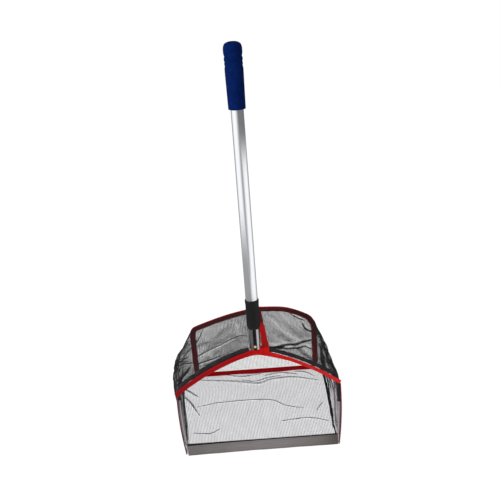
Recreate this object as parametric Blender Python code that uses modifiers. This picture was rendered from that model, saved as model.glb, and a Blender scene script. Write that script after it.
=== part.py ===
"""A long-handled scoop net: a boxy mesh bag on a bent wire frame, with a flat lip and a telescopic pole.

Metres, +Z up. The net stands on its floor. The origin is the middle of the lip's flat underside, +X is
to the right seen from the mouth, and +Y goes back into the bag. The mouth's frame and the pole lie in
one plane that leans back from upright by LEAN.
"""

import math

import bmesh
import bpy
from mathutils import Matrix, Vector

# ---- Driving dimensions ----
LEAN = math.radians(11.5)
GAP = 0.0003  # kept between pieces that touch

# The mouth, measured in its own leaning plane.
MOUTH_HALF_BOTTOM = 0.1639
MOUTH_HALF_TOP = 0.1725
SIDE_BOW = 0.0033
SHOULDER_HEIGHT = 0.146
APEX_HEIGHT = 0.2275
GABLE_SLOPE = 0.24
GABLE_CURVE = 1.52
GABLE_NOSE = 0.010

# Wires, fabric sleeves and tapes.
WIRE_RADIUS = 0.002
HEM_RADIUS = 0.0033
HEM_WALL = 0.0009
TAPE_WIDTH = 0.0076
TAPE_THICKNESS = 0.0022
PANEL_THICKNESS = 0.0008
RIBBON_WIDTH = 0.014

# The lip: a flat fabric sleeve around a stiff strip.
LIP_HALF_LENGTH = 0.161
LIP_HEIGHT = 0.0255
LIP_THICKNESS = 0.0064
LIP_WALL = 0.0009
STRIP_THICKNESS = 0.0015

# The bag behind the mouth.
BAG_DEPTH = 0.2735
BULGE_LEFT = 0.018
BULGE_RIGHT = 0.007
RIDGE_FRONT_X = 0.0188
RIDGE_REAR_X = 0.011
REAR_LEFT_X = -0.1505
REAR_RIGHT_X = 0.1430
REAR_CORNER = 0.016
HOOP_RADIUS = 0.0012
REAR_TAPE_WIDTH = 0.0096
REAR_TAPE_HALF = 0.0021
REAR_TAPE_WALL = 0.0007

# The pole, measured up the leaning plane from the lip.
INNER_RADIUS = 0.011
INNER_BORE = 0.010
INNER_BOTTOM = 0.2400
INNER_TOP = 0.7720
OUTER_RADIUS = 0.0125
OUTER_BORE = 0.0114
OUTER_BOTTOM = 0.2900
OUTER_TOP = 0.8540
SLEEVE_BOTTOM = 0.2859
SLEEVE_TOP = 0.3488
GRIP_BOTTOM = 0.7392
GRIP_TOP = 0.8649
PLUG_LENGTH = 0.022
TAIL_X = 0.005
TAIL_TOP = 0.2760
SOCKET_TOP = 0.2820
RIVET_HEIGHT = 0.2475
RIVET_RADIUS = 0.0016
RIVET_HEAD = 0.0028

ROUND_STEPS = 32

# ---- Collections ----
for old in list(bpy.data.objects):
    bpy.data.objects.remove(old, do_unlink=True)

parts = bpy.data.collections.new("scoop_net")
cutters = bpy.data.collections.new("cutters")
bpy.context.scene.collection.children.link(parts)
bpy.context.scene.collection.children.link(cutters)


# ---- Materials ----
def material(name, colour, roughness, metallic=0.0):
    made = bpy.data.materials.new(name)
    made.use_nodes = True
    shader = made.node_tree.nodes["Principled BSDF"]
    shader.inputs["Base Color"].default_value = (*colour, 1.0)
    shader.inputs["Roughness"].default_value = roughness
    shader.inputs["Metallic"].default_value = metallic
    return made


CHROME = material("chrome", (0.80, 0.80, 0.80), 0.10, 1.0)
SILVER = material("satin_aluminium", (0.78, 0.79, 0.81), 0.30, 1.0)
BRASS = material("brass", (0.75, 0.58, 0.28), 0.30, 1.0)
STEEL_WIRE = material("steel_wire", (0.45, 0.45, 0.46), 0.35, 1.0)
BLACK_PLASTIC = material("black_plastic", (0.018, 0.018, 0.020), 0.45)
WHITE_NYLON = material("white_nylon", (0.75, 0.74, 0.70), 0.50)
BLUE_FOAM = material("blue_foam", (0.005, 0.022, 0.130), 0.75)
RED_TAPE = material("red_tape", (0.55, 0.012, 0.012), 0.65)
BLACK_MESH = material("black_mesh", (0.030, 0.030, 0.032), 0.70)
BLACK_CLOTH = material("black_cloth", (0.022, 0.022, 0.024), 0.80)
GREY_CLOTH = material("grey_cloth", (0.19, 0.175, 0.160), 0.70)


# ---- Making objects ----
def add(name, data, look, parent=None, collection=parts):
    made = bpy.data.objects.new(name, data)
    collection.objects.link(made)
    data.materials.append(look)
    made.parent = parent
    return made


def empty(name, rotation=(0, 0, 0)):
    made = bpy.data.objects.new(name, None)
    parts.objects.link(made)
    made.rotation_euler = rotation
    return made


def solidify(made, thickness, offset=0.0):
    shell = made.modifiers.new("thickness", "SOLIDIFY")
    shell.thickness = thickness
    shell.offset = offset
    return made


def shade_round(mesh):
    mesh.shade_smooth()
    mesh.set_sharp_from_angle(angle=math.radians(35))


def sheet(name, rows, thickness, look, parent=None):
    """A thin shell lofted through rows of points."""
    loft = bmesh.new()
    grid = [[loft.verts.new(point) for point in row] for row in rows]
    for lower, upper in zip(grid, grid[1:]):
        for i in range(len(lower) - 1):
            loft.faces.new((lower[i], lower[i + 1], upper[i + 1], upper[i]))
    bmesh.ops.recalc_face_normals(loft, faces=loft.faces[:])
    mesh = bpy.data.meshes.new(name)
    loft.to_mesh(mesh)
    loft.free()
    shade_round(mesh)
    return solidify(add(name, mesh, look, parent), thickness)


def spline_curve(name, points, closed, flat):
    curve = bpy.data.curves.new(name, "CURVE")
    curve.dimensions = "2D" if flat else "3D"
    add_spline(curve, points, closed)
    return curve


def add_spline(curve, points, closed):
    spline = curve.splines.new("POLY")
    spline.points.add(len(points) - 1)
    for slot, point in zip(spline.points, points):
        slot.co = (*point, 1.0) if len(point) == 3 else (*point, 0.0, 1.0)
    spline.use_cyclic_u = closed


def wire(name, points, radius, look, parent=None, closed=False):
    """A round wire along a route, with filled ends."""
    curve = spline_curve(name, points, closed, flat=False)
    curve.bevel_depth = radius
    curve.bevel_resolution = 2
    curve.use_fill_caps = not closed
    return add(name, curve, look, parent)


def fabric_tube(name, points, radius, wall, look, parent=None):
    """A sleeve around a route, open at both ends."""
    curve = spline_curve(name, points, closed=False, flat=False)
    curve.bevel_depth = radius
    curve.bevel_resolution = 2
    guide = add(name + "_route", curve, look)
    graph = bpy.context.evaluated_depsgraph_get()
    mesh = bpy.data.meshes.new_from_object(guide.evaluated_get(graph))
    bpy.data.objects.remove(guide, do_unlink=True)
    mesh.name = name
    skin = bmesh.new()
    skin.from_mesh(mesh)
    bmesh.ops.remove_doubles(skin, verts=skin.verts[:], dist=0.00001)
    skin.to_mesh(mesh)
    skin.free()
    shade_round(mesh)
    mesh.materials.clear()
    return solidify(add(name, mesh, look, parent), wall, offset=-1.0)


def plate(name, outline, thickness, look, parent=None, holes=()):
    """A flat piece from its outline in the local XY plane."""
    curve = spline_curve(name, outline, closed=True, flat=True)
    for hole in holes:
        add_spline(curve, hole, closed=True)
    curve.fill_mode = "BOTH"
    curve.extrude = thickness / 2
    return add(name, curve, look, parent)


def turned(name, profile, look, parent, height=0.0):
    """A round piece about its own Z, from (radius, height) points down its outer side, then inside."""
    mesh = bpy.data.meshes.new(name)
    edge = bmesh.new()
    ring = [edge.verts.new((radius, 0, level)) for radius, level in profile]
    on_axis = profile[0][0] == 0 and profile[-1][0] == 0
    pairs = list(zip(ring, ring[1:]))
    if not on_axis:
        pairs.append((ring[-1], ring[0]))
    for first, second in pairs:
        edge.edges.new((first, second))
    edge.to_mesh(mesh)
    edge.free()
    made = add(name, mesh, look, parent)
    made.location = (0, 0, height)
    screw = made.modifiers.new("turn", "SCREW")
    screw.steps = ROUND_STEPS
    screw.render_steps = ROUND_STEPS
    screw.use_merge_vertices = True
    screw.merge_threshold = 0.00002
    screw.use_smooth_shade = True
    return made


def cutter_cylinder(name, radius, length, matrix, parent):
    mesh = bpy.data.meshes.new(name)
    solid = bmesh.new()
    bmesh.ops.create_cone(
        solid, cap_ends=True, segments=20, radius1=radius, radius2=radius, depth=length, matrix=matrix
    )
    solid.to_mesh(mesh)
    solid.free()
    return as_cutter(bpy.data.objects.new(name, mesh), parent)


def cutter_box(name, size, centre, parent):
    mesh = bpy.data.meshes.new(name)
    solid = bmesh.new()
    place = Matrix.Translation(centre) @ Matrix.Diagonal((*size, 1.0))
    bmesh.ops.create_cube(solid, size=1.0, matrix=place)
    solid.to_mesh(mesh)
    solid.free()
    return as_cutter(bpy.data.objects.new(name, mesh), parent)


def as_cutter(made, parent):
    cutters.objects.link(made)
    made.parent = parent
    made.hide_render = True
    made.display_type = "WIRE"
    return made


def cut(made, cutter):
    boolean = made.modifiers.new(cutter.name, "BOOLEAN")
    boolean.operation = "DIFFERENCE"
    boolean.solver = "EXACT"
    boolean.object = cutter


# ---- Lines of the mouth, in its own plane: x across, height up the plane ----
def side_line(height):
    """Outer edge of the mouth's side, bowed slightly outwards."""
    part = height / SHOULDER_HEIGHT
    straight = MOUTH_HALF_BOTTOM + (MOUTH_HALF_TOP - MOUTH_HALF_BOTTOM) * part
    return straight + 4 * SIDE_BOW * part * (1 - part)


def gable_height(x):
    """Lower edge of the gable: two sloping arms with a small round nose between them."""
    return APEX_HEIGHT - GABLE_SLOPE * (math.hypot(x, GABLE_NOSE) - GABLE_NOSE) - GABLE_CURVE * x * x


def gable_point(x, out):
    """A point off the gable's lower edge, by out along the edge's upward normal."""
    fall = GABLE_SLOPE * x / math.hypot(x, GABLE_NOSE) + 2 * GABLE_CURVE * x
    size = math.hypot(fall, 1.0)
    return Vector((x + out * fall / size, gable_height(x) + out / size))


def spaced(start, end, count):
    return [start + (end - start) * i / (count - 1) for i in range(count)]


def bend(before, corner, after, radius, count):
    """Points of a rounded corner between two straight runs."""
    towards_before = (before - corner).normalized()
    towards_after = (after - corner).normalized()
    half = towards_before.angle(towards_after) / 2
    reach = radius / math.tan(half)
    middle = corner + (towards_before + towards_after).normalized() * radius / math.sin(half)
    first = corner + towards_before * reach - middle
    last = corner + towards_after * reach - middle
    sweep = first.angle(last)
    points = []
    for part in spaced(0.0, 1.0, count):
        weight = (math.sin((1 - part) * sweep), math.sin(part * sweep))
        points.append(middle + (first * weight[0] + last * weight[1]) / math.sin(sweep))
    return points


HEM_OUT = TAPE_WIDTH + GAP + HEM_RADIUS
HEM_IN = TAPE_THICKNESS + GAP + HEM_RADIUS
WIRE_BOTTOM = 0.0036


def wire_side(height):
    return side_line(height) - HEM_IN


# Where the wire's sloping arm meets its side run.
SHOULDER = Vector((0.1666, 0.1612))
ARM_END_X = 0.1560
ARM_START_X = 0.0150
SIDE_WIRE_TOP = 0.1500
SIDE_WIRE_FOOT = 0.012
TAIL_BEND = 0.0034
SHOULDER_BEND = 0.008
FOOT_BEND = 0.006


def half_frame():
    """The right half of the mouth's wire, from its tail in the pole to the middle of the lip."""
    arm = [gable_point(x, HEM_OUT) for x in spaced(ARM_START_X, ARM_END_X, 8)]
    side = [Vector((wire_side(h), h)) for h in spaced(SIDE_WIRE_TOP, SIDE_WIRE_FOOT, 7)]
    foot = Vector((wire_side(WIRE_BOTTOM), WIRE_BOTTOM))
    tail = Vector((TAIL_X, TAIL_TOP))
    root = Vector((TAIL_X, gable_height(TAIL_X) + HEM_OUT))
    points = [tail] + bend(tail, root, arm[0], TAIL_BEND, 5) + arm
    points += bend(arm[-1], SHOULDER, side[0], SHOULDER_BEND, 5) + side
    points += bend(side[-1], foot, Vector((0, WIRE_BOTTOM)), FOOT_BEND, 4)
    return points


# ---- Lines of the bag ----
def catmull(points, steps):
    """A smooth curve through the points."""
    guides = [2 * points[0] - points[1]] + points + [2 * points[-1] - points[-2]]
    smooth = []
    for a, b, c, d in zip(guides, guides[1:], guides[2:], guides[3:]):
        for i in range(steps):
            t = i / steps
            smooth.append(
                0.5 * (2 * b + (c - a) * t + (2 * a - 5 * b + 4 * c - d) * t**2)
                + 0.5 * (3 * b - a - 3 * c + d) * t**3
            )
    return smooth + [points[-1]]


# The rear hoop's top from its left side, over the arch, to its right side; the wire is sprung a little
# to the right, as its bag pulls it.
LEFT_SHOULDER = Vector((-0.1505, 0.1130))
RIGHT_SHOULDER = Vector((0.1430, 0.1180))
ARCH_LEFT = [
    LEFT_SHOULDER,
    Vector((-0.1460, 0.1310)),
    Vector((-0.1300, 0.1420)),
    Vector((-0.0600, 0.1660)),
    Vector((RIDGE_REAR_X, 0.1815)),
]
ARCH_RIGHT = [
    RIGHT_SHOULDER,
    Vector((0.1370, 0.1340)),
    Vector((0.1220, 0.1520)),
    Vector((0.0730, 0.1750)),
    Vector((RIDGE_REAR_X, 0.1815)),
]
ARCH_STEPS = 3


def rear_outline():
    """The rear panel's outline, once round from its bottom left corner."""
    low_left = Vector((REAR_LEFT_X, 0.0))
    low_right = Vector((REAR_RIGHT_X, 0.0))
    top = catmull(ARCH_LEFT, ARCH_STEPS) + catmull(ARCH_RIGHT, ARCH_STEPS)[-2::-1]
    points = bend(low_right, low_left, LEFT_SHOULDER, REAR_CORNER, 5)
    points += top
    points += bend(RIGHT_SHOULDER, low_right, low_left, REAR_CORNER, 5)
    return points


def inset(outline, distance):
    """The outline moved inwards."""
    moved = []
    count = len(outline)
    for i, point in enumerate(outline):
        before = (point - outline[i - 1]).normalized()
        after = (outline[(i + 1) % count] - point).normalized()
        along = (before + after).normalized()
        stretch = 1 / max(along.dot(after), 0.5)
        moved.append(point + Vector((along.y, -along.x)) * distance * stretch)
    return moved


PANEL_INSET = 0.0012  # how far the side panels stand in from the mouth's sides
PANEL_TOP = 0.148
ROOF_EDGE_X = 0.157
PANEL_FRONT = 0.0058  # where the panels start behind the mouth's plane
BAG_END = BAG_DEPTH - REAR_TAPE_HALF - GAP - 0.0002
SIDE_STEPS = 4
ROOF_STEPS = 7
DEPTH_STEPS = 8
PANEL_FOOT = 0.0018


def mouth_edge(sign):
    """The front edge of a side and its half of the roof, from the floor to the ridge."""
    side = [Vector((sign * (side_line(h) - PANEL_INSET), h)) for h in spaced(PANEL_FOOT, PANEL_TOP, SIDE_STEPS)]
    arm_end = RIDGE_FRONT_X + sign * GAP * 2
    roof = []
    for x in spaced(ROOF_EDGE_X * sign, arm_end, ROOF_STEPS):
        point = gable_point(abs(x), HEM_OUT)
        roof.append(Vector((math.copysign(point.x, x), point.y)))
    return side + roof


def rear_edge(sign):
    """The rear edge of a side and its half of the roof, from the floor to the ridge."""
    arch = ARCH_LEFT if sign < 0 else ARCH_RIGHT
    foot = Vector((REAR_LEFT_X if sign < 0 else REAR_RIGHT_X, PANEL_FOOT))
    side = [foot.lerp(arch[0], part) for part in spaced(0.0, 1.0, SIDE_STEPS)]
    top = catmull(arch, 8)
    picks = [top[round(part * (len(top) - 1))].copy() for part in spaced(0.12, 1.0, ROOF_STEPS)]
    picks[-1].x += sign * GAP * 2
    return side + picks


def bulge(sign, depth_part):
    """How far the slack bag stands out of the straight line between its two frames."""
    most = BULGE_LEFT if sign < 0 else BULGE_RIGHT
    return most * math.sin(math.pi * depth_part) ** 0.8 if 0 < depth_part < 1 else 0.0


def bag_rows(sign):
    front = mouth_edge(sign)
    rear = rear_edge(sign)
    rows = []
    for part in spaced(0.0, 1.0, DEPTH_STEPS + 1):
        row = []
        for i, (near, far) in enumerate(zip(front, rear)):
            start = Vector((near.x, near.y * math.sin(LEAN) + PANEL_FRONT, near.y * math.cos(LEAN)))
            end = Vector((far.x, BAG_END, far.y))
            point = start.lerp(end, part)
            reach = 1.0 if i < SIDE_STEPS else max(0.0, 1 - (i - SIDE_STEPS + 1) / 4)
            point.x += sign * bulge(sign, part) * reach
            row.append(point)
        rows.append(row)
    return rows


def floor_half(sign, y):
    """Half the floor's width at a depth: it follows the side panel's foot."""
    part = (y - PANEL_FRONT) / (BAG_END - PANEL_FRONT)
    part = min(max(part, 0.0), 1.0)
    front = side_line(PANEL_FOOT) - PANEL_INSET
    rear = -REAR_LEFT_X if sign < 0 else REAR_RIGHT_X
    return front + (rear - front) * part + bulge(sign, part)


# ---- Frames of reference ----
mouth = empty("mouth_plane", rotation=(-LEAN, 0, 0))


# ---- The mouth's frame and its socket in the pole ----
def make_mouth_frame():
    right = half_frame()
    route = [Vector((p.x, 0, p.y)) for p in right]
    route += [Vector((-p.x, 0, p.y)) for p in reversed(right)]
    wire("mouth_frame", route, WIRE_RADIUS, STEEL_WIRE, mouth)


SOCKET_RECESS = 0.0012  # how far the socket's foot stands inside the inner tube
SOCKET_EDGE = 0.001
HOLE_CLEARANCE = 0.001
HOLE_OVERRUN = 0.004
HOLE_TURN = 0.1  # keeps the cutter's facets off the socket's own


def make_frame_socket():
    radius = INNER_BORE - GAP
    base = INNER_BOTTOM + SOCKET_RECESS
    rim = [(radius - SOCKET_EDGE, SOCKET_TOP), (radius, SOCKET_TOP - SOCKET_EDGE)]
    profile = [(0, SOCKET_TOP)] + rim + [(radius, base), (0, base)]
    socket = turned("frame_socket", [(r, h - base) for r, h in profile], WHITE_NYLON, mouth, base)
    top = TAIL_TOP + HOLE_CLEARANCE
    depth = top - base + HOLE_OVERRUN
    for side, x in (("left", -TAIL_X), ("right", TAIL_X)):
        place = Matrix.Translation((x, 0, top - depth / 2)) @ Matrix.Rotation(HOLE_TURN, 4, "Z")
        cut(socket, cutter_cylinder("tail_hole_" + side, WIRE_RADIUS + GAP, depth, place, mouth))
    cut(socket, rivet_hole("socket_rivet_hole"))


def rivet_hole(name):
    place = Matrix.Translation((0, 0, RIVET_HEIGHT)) @ Matrix.Rotation(math.pi / 2, 4, "X")
    return cutter_cylinder(name, RIVET_RADIUS + GAP, 0.030, place, mouth)


def make_rivet():
    """A pin through the tube and the socket, with a domed head at each end."""
    reach = INNER_RADIUS + GAP
    dome = [(0, reach + 0.0012), (RIVET_HEAD * 0.6, reach + 0.0009), (RIVET_HEAD, reach + 0.0001)]
    under = [(RIVET_HEAD, reach), (RIVET_RADIUS, reach)]
    upper = dome + under
    lower = [(r, -h) for r, h in reversed(upper)]
    rivet = turned("socket_rivet", upper + lower, BRASS, mouth, RIVET_HEIGHT)
    rivet.rotation_euler = (math.pi / 2, 0, 0)


# ---- The pole ----
def tube_profile(radius, bore, bottom, top, rim=0.0003):
    """A round tube with its two outer rims eased."""
    outer = [(radius - rim, top), (radius, top - rim), (radius, bottom + rim), (radius - rim, bottom)]
    return outer + [(bore, bottom), (bore, top)]


def make_inner_tube():
    profile = tube_profile(INNER_RADIUS, INNER_BORE, INNER_BOTTOM, INNER_TOP)
    tube = turned("inner_tube", profile, CHROME, mouth)
    cut(tube, rivet_hole("tube_rivet_hole"))


def make_outer_tube():
    turned("outer_tube", tube_profile(OUTER_RADIUS, OUTER_BORE, OUTER_BOTTOM, OUTER_TOP), SILVER, mouth)


CORE_RADIUS = INNER_BORE - GAP
STUD_RADIUS = 0.0030
STUD_TOP = OUTER_TOP - PLUG_LENGTH - GAP
FLANGE_TOP = INNER_TOP + GAP + 0.0020
LOCK_RADIUS = OUTER_BORE - GAP
CONE_BOTTOM = 0.7960
CONE_TOP = 0.8180
LOCK_TOP = 0.8080


def make_lock_core():
    """Pressed into the inner tube's top end; its flange closes the tube and its stud carries the lock."""
    under = INNER_TOP + GAP
    profile = [
        (0, STUD_TOP),
        (STUD_RADIUS - 0.0006, STUD_TOP),
        (STUD_RADIUS, STUD_TOP - 0.0006),
        (STUD_RADIUS, FLANGE_TOP),
        (INNER_RADIUS, FLANGE_TOP),
        (INNER_RADIUS, under),
        (CORE_RADIUS, under),
        (CORE_RADIUS, INNER_TOP - 0.020),
        (0, INNER_TOP - 0.020),
    ]
    turned("lock_core", profile, WHITE_NYLON, mouth)


def make_lock_sleeve():
    """A split sleeve that grips the outer tube's bore when the cone is drawn into it."""
    foot = FLANGE_TOP + GAP
    profile = [
        (LOCK_RADIUS - 0.0005, LOCK_TOP),
        (LOCK_RADIUS, LOCK_TOP - 0.0005),
        (LOCK_RADIUS, foot),
        (STUD_RADIUS + GAP, foot),
        (STUD_RADIUS + GAP, CONE_BOTTOM - 0.004),
        (0.0060, CONE_BOTTOM - 0.002),
        (0.0092, LOCK_TOP),
    ]
    sleeve = turned("lock_sleeve", profile, BLACK_PLASTIC, mouth)
    slot_low = foot + 0.008
    size = (0.030, 0.0016, LOCK_TOP + 0.001 - slot_low)
    centre = (0, 0, (LOCK_TOP + 0.001 + slot_low) / 2)
    cut(sleeve, cutter_box("sleeve_slot", size, centre, mouth))


def make_lock_cone():
    """The nut that the stud's thread draws down into the split sleeve."""
    bore = STUD_RADIUS + GAP
    profile = [
        (0.0100, CONE_TOP),
        (0.0104, CONE_TOP - 0.0004),
        (0.0104, LOCK_TOP + 0.0012),
        (0.0086, LOCK_TOP + 0.0004),
        (0.0054, CONE_BOTTOM),
        (bore, CONE_BOTTOM),
        (bore, CONE_TOP),
    ]
    turned("lock_cone", profile, WHITE_NYLON, mouth)


def make_end_sleeve():
    """The black ferrule on the outer tube's lower end; its lip guides the inner tube."""
    grip_radius = OUTER_RADIUS + GAP
    guide = INNER_RADIUS + GAP
    shoulder = OUTER_BOTTOM - GAP
    profile = [
        (0.0138, SLEEVE_TOP),
        (0.0142, SLEEVE_TOP - 0.0006),
        (0.0142, SLEEVE_TOP - 0.006),
        (0.0137, SLEEVE_TOP - 0.010),
        (0.0136, SLEEVE_BOTTOM + 0.010),
        (0.0131, SLEEVE_BOTTOM + 0.003),
        (0.0124, SLEEVE_BOTTOM),
        (guide, SLEEVE_BOTTOM),
        (guide, shoulder),
        (grip_radius, shoulder),
        (grip_radius, SLEEVE_TOP),
    ]
    turned("end_sleeve", profile, BLACK_PLASTIC, mouth)


def make_tube_plug():
    """Closes the outer tube's top end; its foot is the stop that the lock's stud comes down on."""
    radius = OUTER_BORE - GAP
    foot = OUTER_TOP - PLUG_LENGTH
    cap = OUTER_TOP + GAP
    profile = [
        (0, cap + 0.0020),
        (OUTER_RADIUS - 0.0006, cap + 0.0020),
        (OUTER_RADIUS, cap + 0.0014),
        (OUTER_RADIUS, cap),
        (radius, cap),
        (radius, foot),
        (0, foot),
    ]
    turned("tube_plug", profile, BLACK_PLASTIC, mouth)


def make_grip():
    """A foam grip with a bulb at its top, three grooves under it and a slow taper to its lower end."""
    bore = OUTER_RADIUS + GAP
    cup = OUTER_TOP + GAP + 0.0020 + GAP
    outer = [
        (0, GRIP_TOP),
        (0.0070, GRIP_TOP - 0.0006),
        (0.0130, GRIP_TOP - 0.0026),
        (0.0162, GRIP_TOP - 0.0058),
        (0.0178, GRIP_TOP - 0.0110),
        (0.0182, GRIP_TOP - 0.0160),
        (0.0180, GRIP_TOP - 0.0210),
        (0.0170, GRIP_TOP - 0.0260),
        (0.0168, GRIP_TOP - 0.0275),
        (0.0175, GRIP_TOP - 0.0300),
        (0.0178, GRIP_TOP - 0.0325),
        (0.0175, GRIP_TOP - 0.0350),
        (0.0170, GRIP_TOP - 0.0370),
        (0.0174, GRIP_TOP - 0.0395),
        (0.0175, GRIP_TOP - 0.0420),
        (0.0170, GRIP_TOP - 0.0450),
        (0.0174, GRIP_TOP - 0.0480),
        (0.0178, GRIP_TOP - 0.0540),
        (0.0173, GRIP_TOP - 0.0850),
        (0.0167, GRIP_BOTTOM + 0.0015),
        (0.0160, GRIP_BOTTOM),
    ]
    inner = [(bore, GRIP_BOTTOM), (bore, cup), (0, cup)]
    turned("grip", outer + inner, BLUE_FOAM, mouth)


# ---- The lip ----
def lip_outline(wall, foot):
    """The lip's section, leaning with the mouth, as (y, z) points; foot is its flat underside's level."""
    half = LIP_THICKNESS / 2 / math.cos(LEAN) - wall
    top = (LIP_HEIGHT - wall) * math.cos(LEAN)
    lean = math.tan(LEAN)
    ease = 0.0008
    return [
        (-half + foot * lean, foot),
        (half + foot * lean, foot),
        (half + (top - ease) * lean, top - ease),
        (half - ease + top * lean, top),
        (-half + ease + top * lean, top),
        (-half + (top - ease) * lean, top - ease),
    ]


def make_lip():
    sleeve = plate(
        "lip_sleeve",
        lip_outline(0.0, 0.0),
        2 * LIP_HALF_LENGTH,
        GREY_CLOTH,
        holes=[lip_outline(LIP_WALL, LIP_WALL)],
    )
    graph = bpy.context.evaluated_depsgraph_get()
    stand = Matrix(((0, 0, 1, 0), (1, 0, 0, 0), (0, 1, 0, 0), (0, 0, 0, 1)))
    mesh = bpy.data.meshes.new_from_object(sleeve.evaluated_get(graph))
    bpy.data.objects.remove(sleeve, do_unlink=True)
    mesh.materials.clear()
    welded = bmesh.new()
    welded.from_mesh(mesh)
    bmesh.ops.remove_doubles(welded, verts=welded.verts[:], dist=0.00001)
    bmesh.ops.transform(welded, matrix=stand, verts=welded.verts[:])
    bmesh.ops.recalc_face_normals(welded, faces=welded.faces[:])
    welded.to_mesh(mesh)
    welded.free()
    sleeve = add("lip_sleeve", mesh, GREY_CLOTH)
    notch_inner = wire_side(LIP_HEIGHT) - WIRE_RADIUS - 0.0030
    notch = (0.0120, LIP_THICKNESS - 2 * LIP_WALL, 0.0040)
    for name, sign in (("left", -1), ("right", 1)):
        centre = (sign * (notch_inner + notch[0] / 2), 0, LIP_HEIGHT)
        cut(sleeve, cutter_box("lip_notch_" + name, notch, centre, mouth))
    strip = bpy.data.meshes.new("lip_stiffener")
    solid = bmesh.new()
    size = (0.306, STRIP_THICKNESS, 0.0160, 1.0)
    place = Matrix.Translation((0, 0, 0.0152)) @ Matrix.Diagonal(size)
    bmesh.ops.create_cube(solid, size=1.0, matrix=place)
    solid.to_mesh(strip)
    solid.free()
    add("lip_stiffener", strip, WHITE_NYLON, mouth)


# ---- Hems and tapes around the mouth ----
def make_hems():
    for name, sign in (("left", -1), ("right", 1)):
        inner_x = 0.0140 if sign < 0 else 0.0290
        arm = [gable_point(x, HEM_OUT) for x in spaced(inner_x, ARM_END_X, 9)]
        route = [Vector((sign * p.x, 0, p.y)) for p in arm]
        fabric_tube("gable_hem_" + name, route, HEM_RADIUS, HEM_WALL, BLACK_CLOTH, mouth)
        heights = spaced(LIP_HEIGHT + 0.0010, 0.1480, 6)
        route = [Vector((sign * wire_side(h), 0, h)) for h in heights]
        fabric_tube("side_hem_" + name, route, HEM_RADIUS, HEM_WALL, BLACK_CLOTH, mouth)


GABLE_TAPE_END = 0.166
GABLE_TAPE_DEPTH = -WIRE_RADIUS - 0.0004 - TAPE_THICKNESS / 2
SIDE_TAPE_FRONT = -0.0030
SIDE_TAPE_BACK = 0.0048
SIDE_TAPE_FOOT = 0.0024


def make_mouth_tapes():
    across = spaced(-GABLE_TAPE_END, GABLE_TAPE_END, 29)
    lower = [gable_point(x, 0.0) for x in across]
    upper = [gable_point(x, TAPE_WIDTH) for x in reversed(across)]
    tape = plate("gable_tape", lower + upper, TAPE_THICKNESS, RED_TAPE, mouth)
    tape.location = (0, GABLE_TAPE_DEPTH, 0)
    tape.rotation_euler = (math.pi / 2, 0, 0)
    for name, sign in (("left", -1), ("right", 1)):
        centre = TAPE_THICKNESS / 2
        route = [(sign * (side_line(h) - centre), h) for h in spaced(SIDE_TAPE_FOOT, SHOULDER_HEIGHT, 8)]
        rows = [[Vector((x, y, h)) for y in (SIDE_TAPE_FRONT, SIDE_TAPE_BACK)] for x, h in route]
        sheet("side_tape_" + name, rows, TAPE_THICKNESS, RED_TAPE, mouth)


# ---- The bag ----
def make_bag():
    for name, sign in (("left", -1), ("right", 1)):
        sheet("bag_" + name, bag_rows(sign), PANEL_THICKNESS, BLACK_MESH)
    front_y = LIP_THICKNESS / 2 / math.cos(LEAN) + 0.0008
    depths = spaced(front_y, BAG_END, DEPTH_STEPS + 2)
    edge = 0.0006
    outline = [(floor_half(1, y) - edge, y) for y in depths]
    outline += [(-(floor_half(-1, y) - edge), y) for y in reversed(depths)]
    floor = plate("bag_floor", outline, PANEL_THICKNESS, BLACK_MESH)
    floor.location = (0, 0, PANEL_THICKNESS / 2)
    rear = plate("bag_back", inset(rear_outline(), 0.0038), PANEL_THICKNESS, BLACK_MESH)
    rear.rotation_euler = (math.pi / 2, 0, 0)
    rear.location = (0, BAG_DEPTH, 0)


def make_rear_hoop():
    """The sprung wire that holds the rear panel open, and the tape folded over it."""
    outline = rear_outline()
    reach = REAR_TAPE_WALL + GAP + HOOP_RADIUS
    centre = [Vector((p.x, BAG_DEPTH, p.y)) for p in inset(outline, reach)]
    wire("rear_hoop", centre, HOOP_RADIUS, STEEL_WIRE, closed=True)
    skin = REAR_TAPE_WALL / 2
    fold = REAR_TAPE_HALF - skin
    section = [
        (REAR_TAPE_WIDTH, -fold),
        (skin + 0.0010, -fold),
        (skin, -fold + 0.0010),
        (skin, fold - 0.0010),
        (skin + 0.0010, fold),
        (REAR_TAPE_WIDTH, fold),
    ]
    rings = [inset(outline, distance) for distance, _ in section]
    rows = []
    for i in range(len(outline)):
        rows.append([Vector((ring[i].x, BAG_DEPTH + y, ring[i].y)) for ring, (_, y) in zip(rings, section)])
    split = 0.018
    start = [Vector((split - 0.0008, point.y, point.z)) for point in rows[0]]
    end = [Vector((split + 0.0008, point.y, point.z)) for point in rows[-1]]
    sheet("rear_tape", [start] + rows + [end], REAR_TAPE_WALL, RED_TAPE)


def make_ribbon():
    """The tape along the roof's ridge, laid on the right half of the roof beside the pole."""
    lift = PANEL_THICKNESS + GAP + 0.0005
    rows = []
    for depth_row in bag_rows(1):
        ridge = depth_row[-1]
        down = (depth_row[-2] - ridge).normalized()
        up = Vector((-down.z, 0, down.x)).normalized()
        half = RIBBON_WIDTH / 2
        level_side = ridge - Vector((half, 0, 0)) + Vector((0, 0, lift))
        rows.append([level_side, ridge + up * lift, ridge + down * half + up * lift])
    rows = rows[:-1] + [[a.lerp(b, 0.9) for a, b in zip(rows[-2], rows[-1])]]
    sheet("ridge_ribbon", rows, PANEL_THICKNESS, RED_TAPE)


make_mouth_frame()
make_frame_socket()
make_rivet()
make_inner_tube()
make_lock_core()
make_lock_sleeve()
make_lock_cone()
make_outer_tube()
make_end_sleeve()
make_tube_plug()
make_grip()
make_lip()
make_hems()
make_mouth_tapes()
make_bag()
make_rear_hoop()
make_ribbon()
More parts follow.
